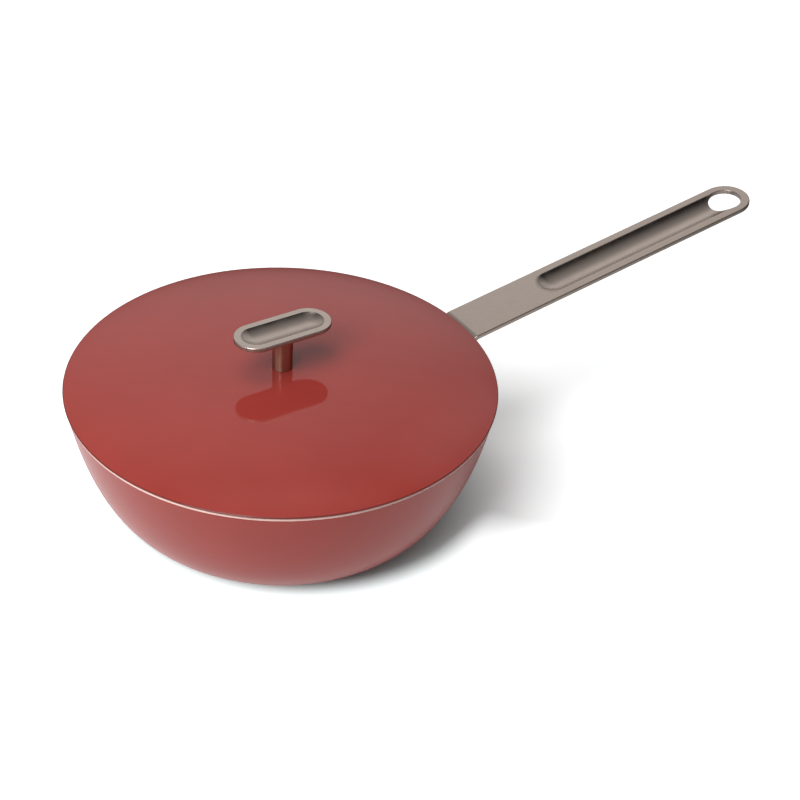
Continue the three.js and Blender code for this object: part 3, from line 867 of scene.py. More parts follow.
def knob_outline(knob):
    radius = scoop_radius(knob.dish_width, knob.dish_depth)
    centre = radius - knob.dish_depth
    shell_radius = radius + knob.dish_shell
    half_width = knob.width / 2
    shell_rounding = 1.2 * MM
    shell_edge = math.sqrt(shell_radius**2 - (centre + knob.edge) ** 2)
    dish_edge = knob.dish_width / 2
    dish_turns = np.linspace(math.asin(dish_edge / radius), 0, 18)
    shell_turns = np.linspace(0, math.asin(shell_edge / shell_radius), 16)
    corners = [
        *arc_below(shell_radius, centre, shell_turns[:-1]),
        (shell_edge, -knob.edge, shell_rounding),
        (half_width, -knob.edge, knob.edge_rounding),
        (half_width, 0, knob.edge_rounding),
        (dish_edge, 0, knob.dish_rounding),
        *arc_below(radius, centre, dish_turns[1:]),
    ]
    return [(across, up + KNOB_TOP.z, edge) for across, up, edge in rounded(corners)]


def collar_outline(knob):
    """The collar on the post and the tapped spigot inside it."""
    collar_foot = KNOB_TOP.z - knob.dish_depth - knob.dish_shell - knob.collar
    spigot_foot = collar_foot - knob.spigot
    spigot_radius = knob.screw_hole + knob.spigot_wall
    shell_middle = KNOB_TOP.z - knob.dish_depth - knob.dish_shell / 2
    edge = 0.25 * MM
    corners = [
        (knob.screw_hole, spigot_foot, edge),
        (spigot_radius, spigot_foot, edge),
        (spigot_radius, collar_foot, 0),
        (POST_TOP.x, collar_foot, edge),
        (POST_TOP.x, shell_middle, 0),
        (knob.screw_hole, shell_middle, 0),
    ]
    return closed(rounded(corners, steps=3))


def domed(radius, height, foot, steps=10):
    """Points of a low domed head, from its middle to its rim."""
    turns = np.linspace(0, math.pi / 2, steps)
    return [(radius * math.sin(turn), foot + height * math.cos(turn), 0) for turn in turns]


def screw_outline(knob):
    head_radius = SCREW_TOP.x
    head_height = 3.2 * MM
    head_top = SCREW_FOOT.z + head_height
    head_rounding = 0.25 * MM
    neck_rounding = 0.2 * MM
    tip_rounding = 0.4 * MM
    corners = [
        *domed(head_radius, -head_height, head_top)[:-1],
        (head_radius, head_top, head_rounding),
        (knob.screw_radius, head_top, neck_rounding),
        (knob.screw_radius, SCREW_TOP.z, tip_rounding),
        (0, SCREW_TOP.z, 0),
    ]
    return rounded(corners, steps=3)


def cross_recess():
    """A solid cross that tapers into the screw's head."""
    arm_half = 2.7 * MM
    thick_half = 0.55 * MM
    depth = 1.6 * MM
    taper = 0.6
    quarter = [(thick_half, thick_half), (thick_half, arm_half), (-thick_half, arm_half)]
    cross = []
    for _ in range(4):
        cross += quarter
        quarter = [(-y, x) for x, y in quarter]
    low = [(x, y, SCREW_FOOT.z - depth) for x, y in cross]
    high = [(x * taper, y * taper, SCREW_FOOT.z + depth) for x, y in cross]
    count = len(cross)
    sides = [(i, i + count, (i + 1) % count + count, (i + 1) % count) for i in range(count)]
    ends = [tuple(range(count)), tuple(reversed(range(count, 2 * count)))]
    return link_object("cross_recess", new_mesh("cross_recess", low + high, faces=sides + ends))


def split_ring(name, outline, slit, finish, steps=64):
    """A ring with a slit across it, closed at its two ends."""
    radius = max(point[0] for point in outline)
    half_slit = math.asin(slit / 2 / radius)
    turns = np.linspace(half_slit, 2 * math.pi - half_slit, steps)
    points = outline[:-1]
    count = len(points)
    places = [(r * math.cos(t), r * math.sin(t), z) for t in turns for r, z, _ in points]
    faces = []
    for section in range(steps - 1):
        for place in range(count):
            here = section * count + place
            beside = section * count + (place + 1) % count
            faces.append((here, here + count, beside + count, beside))
    last = (steps - 1) * count
    faces.append(tuple(range(count)))
    faces.append(tuple(reversed(range(last, last + count))))
    mesh = new_mesh(name, places, faces=faces)
    mesh.materials.append(finish)
    mesh.shade_smooth()
    mesh.set_sharp_from_angle(angle=SHARP_ANGLE)
    return link_object(name, mesh)


# Handle and rivets


def eased(shares):
    """Shares from 0 to 1 that start and end gently."""
    shares = np.clip(shares, 0, 1)
    return shares * shares * (3 - 2 * shares)


def round_line(middle, radius, turns):
    """Flat points (along, across) on a circle whose middle is on the handle's axis."""
    return np.stack([middle + radius * np.cos(turns), radius * np.sin(turns)], axis=1)


def cross_line(along, acrosses):
    """Flat points straight across the handle."""
    return np.stack([np.full_like(acrosses, along), acrosses], axis=1)


class HandlePath:
    """The line that the handle's top face follows from the palm's foot, round the neck, to the tip."""

    def __init__(self, handle, bowl):
        side = BowlSide(bowl)
        half = handle.thickness / 2
        up = side.along(1)[0]
        out = np.array([math.cos(handle.slope), math.sin(handle.slope)])
        over_rim = np.array([bowl.rim_diameter / 2, bowl.rim_height + handle.lift])
        on_bar = over_rim + np.array([out[1], -out[0]]) * half
        on_palm = side.beside(1, bowl.fit_gap + half)[0]
        to_bar = on_bar - on_palm
        climb = (to_bar[0] * out[1] - to_bar[1] * out[0]) / (up[0] * out[1] - up[1] * out[0])
        corner = on_palm + up * climb
        bend = math.acos(up @ out)
        run = handle.neck_radius * math.tan(bend / 2)
        start = corner - up * run
        centre = start + np.array([up[1], -up[0]]) * handle.neck_radius
        self.neck_end = float((corner + out * run - over_rim) @ out)
        self.neck_start = float(start[1])

        # The bar, the neck and the palm, each as lines of distance, place and normal
        bar = np.linspace(self.neck_end, handle.bar_length, 50)
        bar_places = over_rim + bar[:, None] * out
        bar_normals = np.tile([-out[1], out[0]], (len(bar), 1))
        turns = np.linspace(math.atan2(up[0], -up[1]), math.atan2(up[0], -up[1]) - bend, 60)
        neck_normals = np.stack([np.cos(turns), np.sin(turns)], axis=1)
        neck_places = centre + neck_normals * (handle.neck_radius + half)
        neck = self.neck_end - handle.neck_radius * (turns - turns[-1])
        foot = bowl.rim_height - handle.palm_drop
        shares = np.linspace(side.share_at(foot - handle.thickness), side.share_at(self.neck_start), 200)
        palm_along = side.along(shares)
        palm_normals = np.stack([-palm_along[:, 1], palm_along[:, 0]], axis=1)
        palm_places = side.beside(shares, bowl.fit_gap)
        fade = np.clip((palm_places[:, 1] - foot) / (self.neck_start - foot), 0, 1)
        palm_places += (neck_places[0] - palm_places[-1]) * fade[:, None] ** 2
        steps = np.linalg.norm(np.diff(palm_places, axis=0), axis=1)
        palm = neck[0] - np.concatenate([np.cumsum(steps[::-1])[::-1], [0]])

        self.distance = np.concatenate([palm[:-1], neck[:-1], bar])
        self.places = np.concatenate([palm_places[:-1], neck_places[:-1], bar_places])
        self.normals = np.concatenate([palm_normals[:-1], neck_normals[:-1], bar_normals])
        self.wrap = eased((self.neck_end - self.distance) / (self.neck_end - neck[0]))
        self.palm_lines = (palm_places[:, 1], palm)

    def distance_at(self, height):
        """Distance along the path of a height on the palm."""
        return float(np.interp(height, *self.palm_lines))

    def bend(self, points):
        """Bends flat points (along, across, up) to their place on the path."""
        along, across, up = points.T

        def on_path(values):
            return np.interp(along, self.distance, values)

        radius = on_path(self.places[:, 0]) + up * on_path(self.normals[:, 0])
        height = on_path(self.places[:, 1]) + up * on_path(self.normals[:, 1])
        wrapped = np.sqrt(np.maximum(radius**2 - across**2, 0))
        ahead = radius + (wrapped - radius) * on_path(self.wrap)
        return np.stack([ahead, across, height], axis=1)


class FlatPlan:
    """A flat mesh of quads made of patches that share their border points."""

    def __init__(self):
        self.points = []
        self.faces = []
        self.count = 0

    def add_patch(self, rows):
        """Adds a patch from rows of (along, across) points, all of one length."""
        rows = np.asarray(rows, float)
        height, width, _ = rows.shape
        ids = self.count + np.arange(height * width).reshape(height, width)
        quads = np.stack([ids[:-1, :-1], ids[1:, :-1], ids[1:, 1:], ids[:-1, 1:]], axis=-1)
        self.points.append(rows.reshape(-1, 2))
        self.faces.append(quads.reshape(-1, 4))
        self.count += height * width

    def merged(self):
        """Points and faces with shared points merged, and every face turned to face up."""
        points = np.concatenate(self.points)
        keys = np.round(points / MERGE_DISTANCE).astype(np.int64)
        _, first, merged = np.unique(keys, axis=0, return_index=True, return_inverse=True)
        points = points[first]
        faces = []
        for face in merged.reshape(-1)[np.concatenate(self.faces)]:
            corners = [corner for place, corner in enumerate(face) if corner != face[place - 1]]
            if len(corners) < 3:
                continue
            x, y = points[corners].T
            area = np.sum(x * np.roll(y, -1) - y * np.roll(x, -1))
            faces.append(corners if area > 0 else corners[::-1])
        return points, faces


def borders(faces):
    """The closed border lines of a flat mesh, each with the mesh on its left."""
    edges = {(a, b) for face in faces for a, b in zip(face, [*face[1:], face[0]])}
    following = {a: b for a, b in edges if (b, a) not in edges}
    lines = []
    while following:
        line = [min(following)]
        while line[-1] in following:
            line.append(following.pop(line[-1]))
        lines.append(np.array(line[:-1]))
    return lines


def handle_plan(handle, bowl, path):
    """The handle laid flat: loops round the scoop and the hole, then rows down to the palm's foot."""
    start = handle.scoop_start + handle.scoop_width / 2
    hole = handle.bar_length - handle.hole_setback
    hole_edge = handle.hole_diameter / 2 + handle.hole_rounding
    half_width = handle.width / 2 - handle.rounding
    tip = handle.bar_length - handle.width / 2
    scoop_edge = handle.scoop_width / 2
    blend = handle.scoop_blend
    legs = np.linspace(0, 1, 41)
    turns = np.linspace(math.pi / 2, 3 * math.pi / 2, 41)
    tip_turns = np.linspace(-math.pi / 2, math.pi / 2, 49)

    def line(leg_end, offset):
        """Back along one side of the scoop, round its start and forward along the other side."""
        leg = leg_end + (start - leg_end) * legs
        arc = round_line(start, offset, turns)
        back = np.stack([leg, np.full_like(leg, offset)], axis=1)
        ahead = np.stack([leg[::-1], np.full_like(leg, -offset)], axis=1)
        return np.concatenate([back[:-1], arc[:-1], ahead])

    plan = FlatPlan()
    openings = np.linspace(0, math.pi / 2, 17)
    plan.add_patch([line(hole - hole_edge * math.cos(t), hole_edge * math.sin(t)) for t in openings])

    near_edge = scoop_edge + blend * np.array([-0.25, 0.25, 0.6, 1.0, 1.6, 2.6])
    outer = np.array([0.3, 0.6, 0.85, 0.95, 1.0]) * (half_width - near_edge[-1]) + near_edge[-1]
    least_step = 0.05 * MM
    levels = np.concatenate([[hole_edge], near_edge[near_edge > hole_edge + least_step], outer])
    loops = []
    ends = []
    for level in levels:
        middle = hole + (tip - hole) * (level - hole_edge) / (half_width - hole_edge)
        loops.append(line(middle, level))
        ends.append(round_line(middle, level, tip_turns))
    plan.add_patch(loops)
    plan.add_patch(ends)

    # Rows from the round start of the scoop's zone to the palm
    shares = np.linspace(1, -1, len(turns))
    square_off = 6 * MM
    round_row = round_line(start, half_width, turns)
    square_along = start - half_width - square_off
    square_row = cross_line(square_along, half_width * shares)
    plan.add_patch([round_row + (square_row - round_row) * done for done in np.linspace(0, 1, 7)])

    palm_half = handle.palm_width / 2 - handle.rounding
    palm_middle = bowl.rim_height - handle.palm_drop + handle.palm_width / 2
    shoulder = 7 * MM
    shoulder_lead = 2 * MM
    alongs = [*np.linspace(square_along, path.neck_end, 6)]
    alongs += [*np.linspace(path.neck_end, path.distance_at(path.neck_start), 15)[1:]]
    heights = np.linspace(path.neck_start, palm_middle, 16)
    alongs += [path.distance_at(height) for height in heights[1:]]
    palm_start = path.distance_at(bowl.rim_height - handle.palm_top_drop) + shoulder_lead
    rows = []
    for along in alongs:
        half = half_width + (palm_half - half_width) * eased((palm_start - along) / shoulder)
        rows.append(cross_line(along, half * shares))
    for turn in np.linspace(0, math.pi / 2, 15)[1:]:
        along = path.distance_at(palm_middle - palm_half * math.sin(turn))
        rows.append(cross_line(along, palm_half * math.cos(turn) * shares))
    plan.add_patch(rows)
    return plan.merged()


def softened_low(first, second, blend):
    """The lower of two heights, with the crease between them softened over a blend."""
    near = np.maximum(blend - np.abs(first - second), 0) / blend
    return np.minimum(first, second) - near * near * blend / 4


def handle_faces(handle, points):
    """Heights of the handle's top and bottom faces at flat points."""
    start = handle.scoop_start + handle.scoop_width / 2
    hole = handle.bar_length - handle.hole_setback
    past = np.maximum(start - points[:, 0], 0) + np.maximum(points[:, 0] - hole, 0)
    off_axis = np.hypot(past, points[:, 1])
    radius = scoop_radius(handle.scoop_width, handle.scoop_depth)
    centre = radius - handle.scoop_depth
    shell_radius = radius + handle.scoop_shell
    scoop = centre - np.sqrt(np.maximum(radius**2 - off_axis**2, 0))
    shell = centre - np.sqrt(np.maximum(shell_radius**2 - off_axis**2, 0))
    flat = np.zeros(len(points))
    top = softened_low(flat, scoop, handle.scoop_blend)
    bottom = softened_low(flat - handle.thickness, shell, handle.shell_blend)
    return top, bottom


def handle_mesh(handle, bowl):
    path = HandlePath(handle, bowl)
    flat, plan_faces = handle_plan(handle, bowl, path)
    top, bottom = handle_faces(handle, flat)
    count = len(flat)
    places = [np.column_stack([flat, top]), np.column_stack([flat, bottom])]
    edges = [np.zeros(2 * count)]
    faces = [tuple(face) for face in plan_faces]
    faces += [tuple(count + corner for corner in reversed(face)) for face in plan_faces]
    total = 2 * count
    hole = np.array([handle.bar_length - handle.hole_setback, 0])

    # A rounded wall along each border, from the top face to the bottom face
    for border in borders(plan_faces):
        line = flat[border]
        ahead = np.roll(line, -1, axis=0) - np.roll(line, 1, axis=0)
        outwards = np.stack([ahead[:, 1], -ahead[:, 0]], axis=1)
        outwards /= np.linalg.norm(outwards, axis=1, keepdims=True)
        at_hole = np.max(np.linalg.norm(line - hole, axis=1)) < handle.width / 2
        rounding = handle.hole_rounding if at_hole else handle.rounding
        turns = np.linspace(0, math.pi / 2, 7)[1:]
        rings = [border]
        for heights, inwards, order in ((top, -rounding, turns), (bottom, rounding, turns[::-1])):
            for turn in order:
                across = line + outwards * rounding * math.sin(turn)
                up = heights[border] + inwards * (1 - math.cos(turn))
                places.append(np.column_stack([across, up]))
        size = len(border)
        rings += [total + step * size + np.arange(size) for step in range(2 * len(turns))]
        rings.append(count + border)
        edges.append(np.ones(2 * len(turns) * size))
        total += 2 * len(turns) * size
        for upper, lower in zip(rings[:-1], rings[1:]):
            faces += list(zip(upper, lower, np.roll(lower, -1), np.roll(upper, -1)))

    corners = [[int(corner) for corner in face] for face in faces]
    mesh = new_mesh("handle_bar", path.bend(np.concatenate(places)).tolist(), faces=corners)
    mark(mesh, "edge", np.concatenate(edges))
    mesh.shade_smooth()
    return mesh


def rivet_outline(handle, bowl, wall):
    """A rivet along its own axis, from the wall's outer face: its head is inside the bowl."""
    hollow = handle.rivet_head_radius**2 / bowl.rim_diameter
    head_foot = -wall - bowl.fit_gap - hollow
    tail_foot = handle.thickness + 2 * bowl.fit_gap
    edge = 0.3 * MM
    corners = [
        *domed(handle.rivet_head_radius, -handle.rivet_head_height, head_foot)[:-1],
        (handle.rivet_head_radius, head_foot, edge),
        (handle.rivet_radius, head_foot, 0),
        (handle.rivet_radius, tail_foot, 0),
        (handle.rivet_tail_radius, tail_foot, edge),
        *domed(handle.rivet_tail_radius, handle.rivet_tail_height, tail_foot)[-2::-1],
    ]
    return rounded(corners, steps=3)


def rivet_seats(handle, bowl):
    """A mesh with a point where each rivet crosses the wall's outer face, and how it is turned."""
    side = BowlSide(bowl)
    spread = handle.rivet_spread
    rivets = [
        (spread, handle.upper_rivet_drop),
        (-spread, handle.upper_rivet_drop),
        (0, handle.lower_rivet_drop),
    ]
    places, turns = [], []
    for sideways, drop in rivets:
        up_wall = side.share_at(bowl.rim_height - drop)
        radius, height = side.point(up_wall)[0]
        along = side.along(up_wall)[0]
        turn = math.asin(sideways / radius)
        places.append((radius * math.cos(turn), radius * math.sin(turn), height))
        turns += [0, math.pi / 2 + math.atan2(along[0], along[1]), turn]
    mesh = new_mesh("rivet_seats", places)
    mesh.attributes.new("turn", "FLOAT_VECTOR", "POINT").data.foreach_set("vector", turns)
    return link_object("rivet_seats", mesh)


# Stage


def floor_finish(floor_colour):
    """A pale floor that keeps the shadow and is white round it. It ends in reflections, as a table does.

    From below it is see-through, and so is the spot on which the base stands.
    """
    white = (1, 1, 1, 1)
    table_edge = (0.2, 0.2, 0.2, 1)
    near_bowl = (0.72, 1, 1, 1)
    far_from_bowl = (0.97, 1, 1, 1)
    lamp_side = (-0.8, -0.6, 0)
    foot_lean = 0.03
    base_spot = 0.076
    material, nodes, shader = new_finish("Pale floor")
    nodes.tree.nodes.remove(shader)
    ray = nodes.add("ShaderNodeLightPath").outputs
    place = object_place(nodes)
    away = nodes.vector("LENGTH", place)

    def fading(start, end, first=0.0, last=1.0):
        """A level that goes from first to last between two distances from the bowl's axis."""
        return nodes.remap(away, start, end, first, last, smooth=True)

    # Plain as light, a table in reflections, and to the camera without the red that the bowl throws on it
    table = nodes.mix(fading(0.35, 0.8), white, table_edge)
    shown = nodes.mix(ray["Is Glossy Ray"], (*floor_colour, 1), table)
    unreddened = nodes.mix(fading(0.09, 0.16), near_bowl, far_from_bowl)
    shown = nodes.mix(ray["Is Camera Ray"], shown, unreddened)
    body = nodes.add("ShaderNodeBsdfDiffuse", {"Color": shown}).outputs[0]

    # A glow that takes it to white round the shadow, most on the side towards the lamps
    to_light = nodes.maths("DIVIDE", nodes.vector("DOT_PRODUCT", place, lamp_side), away)
    past_foot = nodes.maths("MULTIPLY_ADD", to_light, foot_lean, away)
    past_foot = nodes.remap(past_foot, 0.108, 0.129, 0.0, 0.74, smooth=True)
    lit_side = nodes.maths("MULTIPLY", past_foot, nodes.remap(to_light, -0.45, 0.0, smooth=True))
    to_eye = nodes.maths("MAXIMUM", fading(0.09, 0.16, last=0.31), lit_side)
    to_eye = nodes.maths("ADD", to_eye, fading(0.15, 0.24, last=0.28))
    to_eye = nodes.maths("ADD", to_eye, fading(0.3, 0.9, last=0.4))
    mirrored = nodes.maths("MULTIPLY", lit_side, fading(0.35, 0.8, 0.6, 0.0))
    level = nodes.maths("MULTIPLY", to_eye, ray["Is Camera Ray"])
    level = nodes.maths("MULTIPLY_ADD", mirrored, ray["Is Glossy Ray"], level)
    glow = nodes.add("ShaderNodeEmission", {"Color": white, "Strength": level}).outputs[0]

    below = nodes.add("ShaderNodeNewGeometry").outputs["Backfacing"]
    see_through = nodes.maths("MAXIMUM", below, nodes.maths("LESS_THAN", away, base_spot))
    solid = nodes.add("ShaderNodeAddShader", {0: body, 1: glow}).outputs[0]
    clear = nodes.add("ShaderNodeBsdfTransparent").outputs[0]
    surface = nodes.add("ShaderNodeMixShader", {0: see_through, 1: solid, 2: clear}).outputs[0]
    nodes.feed(nodes.tree.nodes["Material Output"].inputs["Surface"], surface)
    return material


def studio_sky(sky_level):
    """White to the camera, an even soft level as light, and a lit room in reflections."""
    world = bpy.data.worlds.new("Studio")
    world.use_nodes = True
    bpy.context.scene.world = world
    nodes = Nodes(world.node_tree)
    ray = nodes.add("ShaderNodeLightPath").outputs
    direction = nodes.add("ShaderNodeTexCoord").outputs["Generated"]
    towards = nodes.add("ShaderNodeSeparateXYZ", {0: direction}).outputs

    # A back wall, dimmer to the left and low down
    wall = nodes.remap(towards["Y"], 0.2, 0.8, 0.02, 1.02, smooth=True)
    above_table = nodes.remap(towards["Z"], -0.1, 0.5, 0.14, 1.0, smooth=True)
    aside = nodes.remap(towards["X"], -0.2, 0.5, 0.45, 1.0, smooth=True)
    mirrored = nodes.maths("MULTIPLY", nodes.maths("MULTIPLY", wall, above_table), aside)

    # Two soft patches above, the first overhead and the second to the right, each fading from heart to rim
    overhead = ((0.2, 0.29, 0.936), 0.95, 0.995)
    on_the_right = ((0.69, 0.29, 0.66), 0.94, 0.99)
    for middle, rim, heart in (overhead, on_the_right):
        nearness = nodes.vector("DOT_PRODUCT", direction, middle)
        patch = nodes.remap(nearness, rim, heart, 0.0, 0.45, smooth=True)
        mirrored = nodes.maths("ADD", mirrored, patch)

    # The rest of the room, on the camera's side and on the left, and what lies under the table
    room = nodes.maths("MINIMUM", towards["X"], towards["Y"])
    room = nodes.remap(room, -0.75, -0.35, 0.42, 0.0, smooth=True)
    mirrored = nodes.maths("MULTIPLY_ADD", room, above_table, mirrored)
    under = nodes.remap(towards["Z"], -0.4, -0.1, 0.5, 0.0, smooth=True)
    mirrored = nodes.maths("ADD", mirrored, under)

    level = nodes.mix_value(ray["Is Glossy Ray"], sky_level, mirrored)
    seen = nodes.maths("MAXIMUM", ray["Is Camera Ray"], ray["Is Transmission Ray"])
    level = nodes.mix_value(seen, level, 1.0)
    background = world.node_tree.nodes["Background"]
    background.inputs["Color"].default_value = (1, 1, 1, 1)
    nodes.feed(background.inputs["Strength"], level)


def add_softbox(name, towards, distance, size, level, aim):
    """A soft square lamp that gives a level of light, of which 1 shows a colour as it is written."""
    lamp = bpy.data.lights.new(name, "AREA")
    lamp.shape = "SQUARE"
    lamp.size = size
    lamp.energy = level * math.pi * math.pi * distance**2
    box = link_object(name, lamp)
    direction = Vector(towards).normalized()
    box.location = Vector(aim) + direction * distance
    box.rotation_mode = "QUATERNION"
    box.rotation_quaternion = direction.to_track_quat("Z", "Y")
    box.visible_camera = False


def add_camera(stage):
    camera = bpy.data.cameras.new("Camera")
    camera.lens = stage.lens
    camera.sensor_width = 36
    camera.clip_start = 0.05
    holder = link_object("Camera", camera)
    level = math.cos(stage.elevation)
    back = Vector(
        (
            math.sin(stage.azimuth) * level,
            -math.cos(stage.azimuth) * level,
            math.sin(stage.elevation),
        )
    )
    holder.rotation_mode = "QUATERNION"
    roll = Matrix.Rotation(stage.roll, 4, "Z")
    turn = back.to_track_quat("Z", "Y").to_matrix().to_4x4()
    holder.matrix_world = Matrix.Translation(Vector(stage.aim) + back * stage.distance) @ turn @ roll
    bpy.context.scene.camera = holder


# Operators


class MakeBowl(Operator):
    """Builds the coated bowl"""

    bl_idname = "wok.make_bowl"
    bl_label = "Bowl"

    def execute(self, context):
        bowl = context.scene.wok.bowl
        satin = dict(grain=0.5 * MM, grain_depth=0.012 * MM, roughness=0.3, spread=0.012, gloss_level=0.2)
        ceramic = dict(grain=0.6 * MM, grain_depth=0.02 * MM, roughness=0.38, spread=0.04)
        machined = dict(pitch=0.25 * MM, depth=0.004 * MM, roughness=0.4, metallic=0.1)
        coating = finish_named("Satin coating", coated, bowl.coating, **satin)
        lining = finish_named("Ceramic lining", coated, bowl.lining, **ceramic)
        bare_metal = finish_named("Bare rim", turned, bowl.bare_metal, **machined)
        piece = swept("bowl", bowl_outline(bowl), coating, half_turn_steps=128)
        line_bowl(piece, bowl, lining, bare_metal)
        stand_in(piece, "pan", "bowl_coating", "pan_bowl")
        return {"FINISHED"}


class MakePlate(Operator):
    """Builds the steel plate under the base"""

    bl_idname = "wok.make_plate"
    bl_label = "Base plate"

    def execute(self, context):
        bowl = context.scene.wok.bowl
        marks = dict(pitch=0.5 * MM, depth=0.02 * MM, roughness=0.34)
        steel = finish_named("Plate steel", turned, bowl.plate_steel, **marks)
        piece = swept("plate", plate_outline(bowl), steel, half_turn_steps=96)
        stand_in(piece, "pan", "bright_steel", "base_plate")
        return {"FINISHED"}


class MakeHandle(Operator):
    """Builds the bar handle with its palm"""

    bl_idname = "wok.make_handle"
    bl_label = "Handle"

    def execute(self, context):
        wok = context.scene.wok
        mesh = handle_mesh(wok.handle, wok.bowl)
        tip = max(point.co.x for point in mesh.vertices)
        scoop_start = wok.handle.scoop_start + wok.handle.scoop_width / 2
        scoop_reach = wok.handle.bar_length - scoop_start
        mark_sides(mesh, tip - scoop_reach, tip - wok.handle.hole_setback, wok.handle.scoop_width)
        mesh.materials.append(finish_named("Blasted steel", blasted, wok.knob.steel, roughness=0.25))
        piece = link_object("handle_bar", mesh)
        stand_in(piece, "pan", "cast_steel", "handle")
        return {"FINISHED"}


class MakeRivets(Operator):
    """Builds the rivets that hold the handle"""

    bl_idname = "wok.make_rivets"
    bl_label = "Rivets"

    def execute(self, context):
        bowl, handle = context.scene.wok.bowl, context.scene.wok.handle
        marks = dict(pitch=0.4 * MM, depth=0.005 * MM, roughness=0.3)
        metal = finish_named("Rivet metal", turned, handle.rivet_metal, **marks)
        side = BowlSide(bowl)
        drops = np.array([handle.upper_rivet_drop, handle.lower_rivet_drop])
        wall = float(np.mean(side.thickness(side.share_at(bowl.rim_height - drops))))
        rivet = swept("rivet", rivet_outline(handle, bowl, wall), metal, half_turn_steps=24)
        mesh = made_by(seat_tree(), rivet_seats(handle, bowl), {"Fixing": rivet, "Finish": metal})
        bpy.data.objects.remove(rivet)
        mesh.set_sharp_from_angle(angle=SHARP_ANGLE)
        piece = link_object("handle_rivets", mesh)
        stand_in(piece, "pan", "rivet_metal", "rivet_upper_left", "rivet_upper_right", "rivet_lower")
        return {"FINISHED"}


class MakeLid(Operator):
    """Builds the enamelled lid"""

    bl_idname = "wok.make_lid"
    bl_label = "Lid"

    def execute(self, context):
        wok = context.scene.wok
        lid = wok.lid
        skin = dict(grain=7 * MM, grain_depth=0.004 * MM, roughness=0.06, spread=0.015, gloss_level=0.36)
        enamel = finish_named("Gloss enamel", coated, lid.enamel, **skin, ground_coat=lid.ground_coat)
        piece = swept("lid", lid_outline(lid, wok.knob.screw_hole), enamel, half_turn_steps=160)
        stand_in(piece, "lid", "lid_enamel", "lid_cover")
        return {"FINISHED"}


class MakeLocatingRing(Operator):
    """Builds the ring under the lid"""

    bl_idname = "wok.make_locating_ring"
    bl_label = "Locating ring"

    def execute(self, context):
        wok = context.scene.wok
        marks = dict(pitch=0.35 * MM, depth=0.008 * MM, roughness=0.28)
        steel = finish_named("Ring steel", turned, wok.lid.ring_steel, **marks)
        outline = ring_under_lid_outline(wok.lid, wok.bowl.fit_gap)
        piece = swept("locating_ring", outline, steel, half_turn_steps=128)
        stand_in(piece, "lid", "bright_steel", "lid_locating_ring")
        return {"FINISHED"}


class MakeKnob(Operator):
    """Builds the knob's dished grip"""

    bl_idname = "wok.make_knob"
    bl_label = "Knob grip"

    def execute(self, context):
        knob = context.scene.wok.knob
        steel = finish_named("Blasted steel", blasted, knob.steel, roughness=0.25)
        half_length = (knob.length - knob.width) / 2
        piece = swept("knob", knob_outline(knob), steel, half_length, half_turn_steps=40)
        collar = swept("collar", collar_outline(knob), steel, half_turn_steps=32)
        joined(piece, collar, "UNION")
        mark_sides(piece.data, -half_length, half_length, knob.dish_width)
        stand_in(piece, "lid", "cast_steel", "knob_grip")
        return {"FINISHED"}


class MakePost(Operator):
    """Builds the turned post under the knob"""

    bl_idname = "wok.make_post"
    bl_label = "Knob post"

    def execute(self, context):
        knob = context.scene.wok.knob
        marks = dict(pitch=0.3 * MM, depth=0.004 * MM, roughness=0.34, stretch=0.85)
        steel = finish_named("Turned post", turned, knob.post_steel_and_reflection, **marks)
        spigot_gap = 0.3 * MM
        edge = 0.25 * MM
        bore = knob.screw_hole + knob.spigot_wall + spigot_gap
        outline = ring_outline(bore, POST_TOP.x, POST_FOOT.z, POST_TOP.z, edge)
        piece = swept("post", outline, steel, half_turn_steps=40)
        stand_in(piece, "lid", "bright_steel", "knob_post")
        return {"FINISHED"}


class MakeFixings(Operator):
    """Builds the seal, the washers and the screw under the lid"""

    bl_idname = "wok.make_fixings"
    bl_label = "Knob fixings"

    def execute(self, context):
        knob = context.scene.wok.knob
        marks = dict(pitch=0.3 * MM, depth=0.006 * MM, roughness=0.3)
        zinc = finish_named("Fixing steel", turned, knob.fixings, **marks)
        silicone = finish_named("Silicone seal", moulded, knob.seal, roughness=0.6)
        seal_edge = 0.35 * MM
        washer_edge = 0.2 * MM
        spring_edge = 0.15 * MM
        spring_slit = 1 * MM

        def flat_ring(node, rounding):
            low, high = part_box(node)
            return ring_outline(knob.screw_hole, high.x, low.z, high.z, rounding)

        seal = swept("seal", flat_ring("knob_seal", seal_edge), silicone, half_turn_steps=32)
        stand_in(seal, "lid", "seal_rubber", "knob_seal")
        washer = swept("washer", flat_ring("knob_washer", washer_edge), zinc, half_turn_steps=32)
        stand_in(washer, "lid", "bright_steel", "knob_washer")
        low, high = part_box("knob_spring_washer")
        outline = ring_outline(knob.screw_hole, high.y, low.z, high.z, spring_edge)
        spring = split_ring("spring_washer", outline, spring_slit, zinc)
        stand_in(spring, "lid", "bright_steel", "knob_spring_washer")
        screw = swept("screw", screw_outline(knob), zinc, half_turn_steps=32)
        joined(screw, cross_recess(), "DIFFERENCE")
        stand_in(screw, "lid", "bright_steel", "knob_screw")
        return {"FINISHED"}


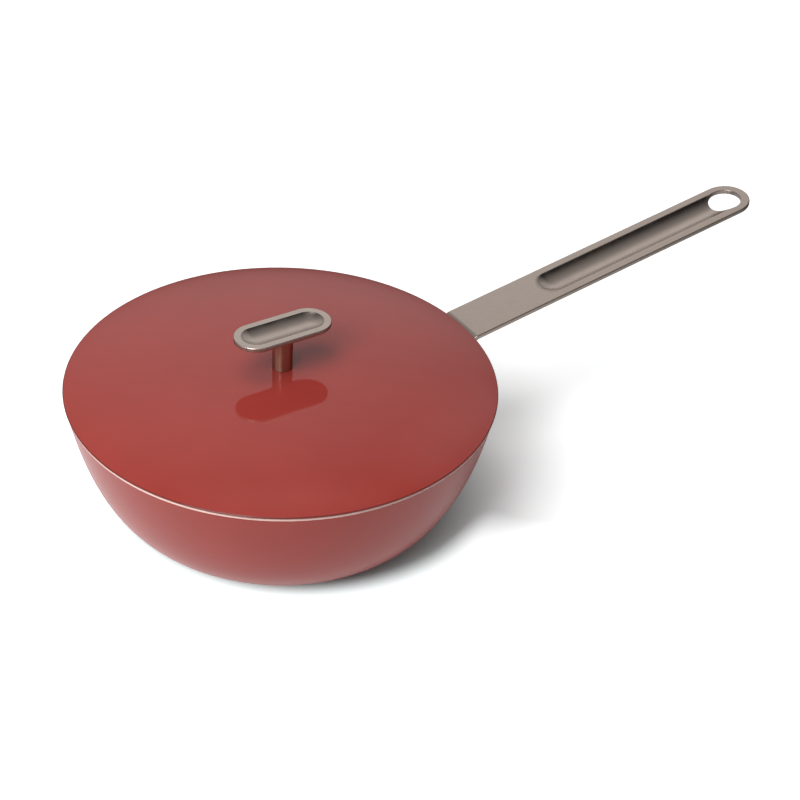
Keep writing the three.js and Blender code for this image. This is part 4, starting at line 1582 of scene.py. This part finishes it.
class MakeStage(Operator):
    """Sets the floor, the light and the camera"""

    bl_idname = "wok.make_stage"
    bl_label = "Stage"

    def execute(self, context):
        stage = context.scene.wok.stage
        half = 4
        corners = [(-half, -half, 0), (half, -half, 0), (half, half, 0), (-half, half, 0)]
        mesh = new_mesh("floor", corners, faces=[(0, 1, 2, 3)])
        mesh.materials.append(floor_finish(stage.floor_colour))
        floor = link_object("floor", mesh)
        studio_sky(stage.sky_level)
        middle = (0, 0, LID_TOP.z)
        lamp_distance = 1.1
        lamp_size = 0.55
        lamps = {
            "Key light": ((-0.66, -0.35, 0.67), stage.key_level),
            "Top light": ((-0.24, -0.05, 0.97), stage.top_level),
            "Side light": ((-0.92, 0.08, 0.38), stage.side_level),
        }
        for name, (towards, level) in lamps.items():
            add_softbox(name, towards, lamp_distance, lamp_size, level, middle)
        add_camera(stage)
        context.scene.view_settings.view_transform = "Standard"
        return {"FINISHED"}


class WokPanel(Panel):
    """Lists the wok's pieces and its stage"""

    bl_idname = "VIEW3D_PT_wok"
    bl_label = "Wok with lid"
    bl_space_type = "VIEW_3D"
    bl_region_type = "UI"
    bl_category = "Wok"

    def draw(self, context):
        for operator in OPERATORS:
            self.layout.operator(operator.bl_idname)
        for name in WokSettings.__annotations__:
            box = self.layout.box()
            box.label(text=name.capitalize())
            group = getattr(context.scene.wok, name)
            for setting in group.__annotations__:
                box.prop(group, setting)


SETTINGS = (BowlSettings, LidSettings, KnobSettings, HandleSettings, StageSettings, WokSettings)
OPERATORS = (
    MakeBowl,
    MakePlate,
    MakeHandle,
    MakeRivets,
    MakeLid,
    MakeLocatingRing,
    MakeKnob,
    MakePost,
    MakeFixings,
    MakeStage,
)


def register():
    for item in (*SETTINGS, *OPERATORS, WokPanel):
        bpy.utils.register_class(item)
    bpy.types.Scene.wok = PointerProperty(type=WokSettings)


def unregister():
    del bpy.types.Scene.wok
    for item in reversed((*SETTINGS, *OPERATORS, WokPanel)):
        bpy.utils.unregister_class(item)


def main():
    register()
    for operator in OPERATORS:
        group, name = operator.bl_idname.split(".")
        getattr(getattr(bpy.ops, group), name)()


if __name__ == "__main__":
    main()
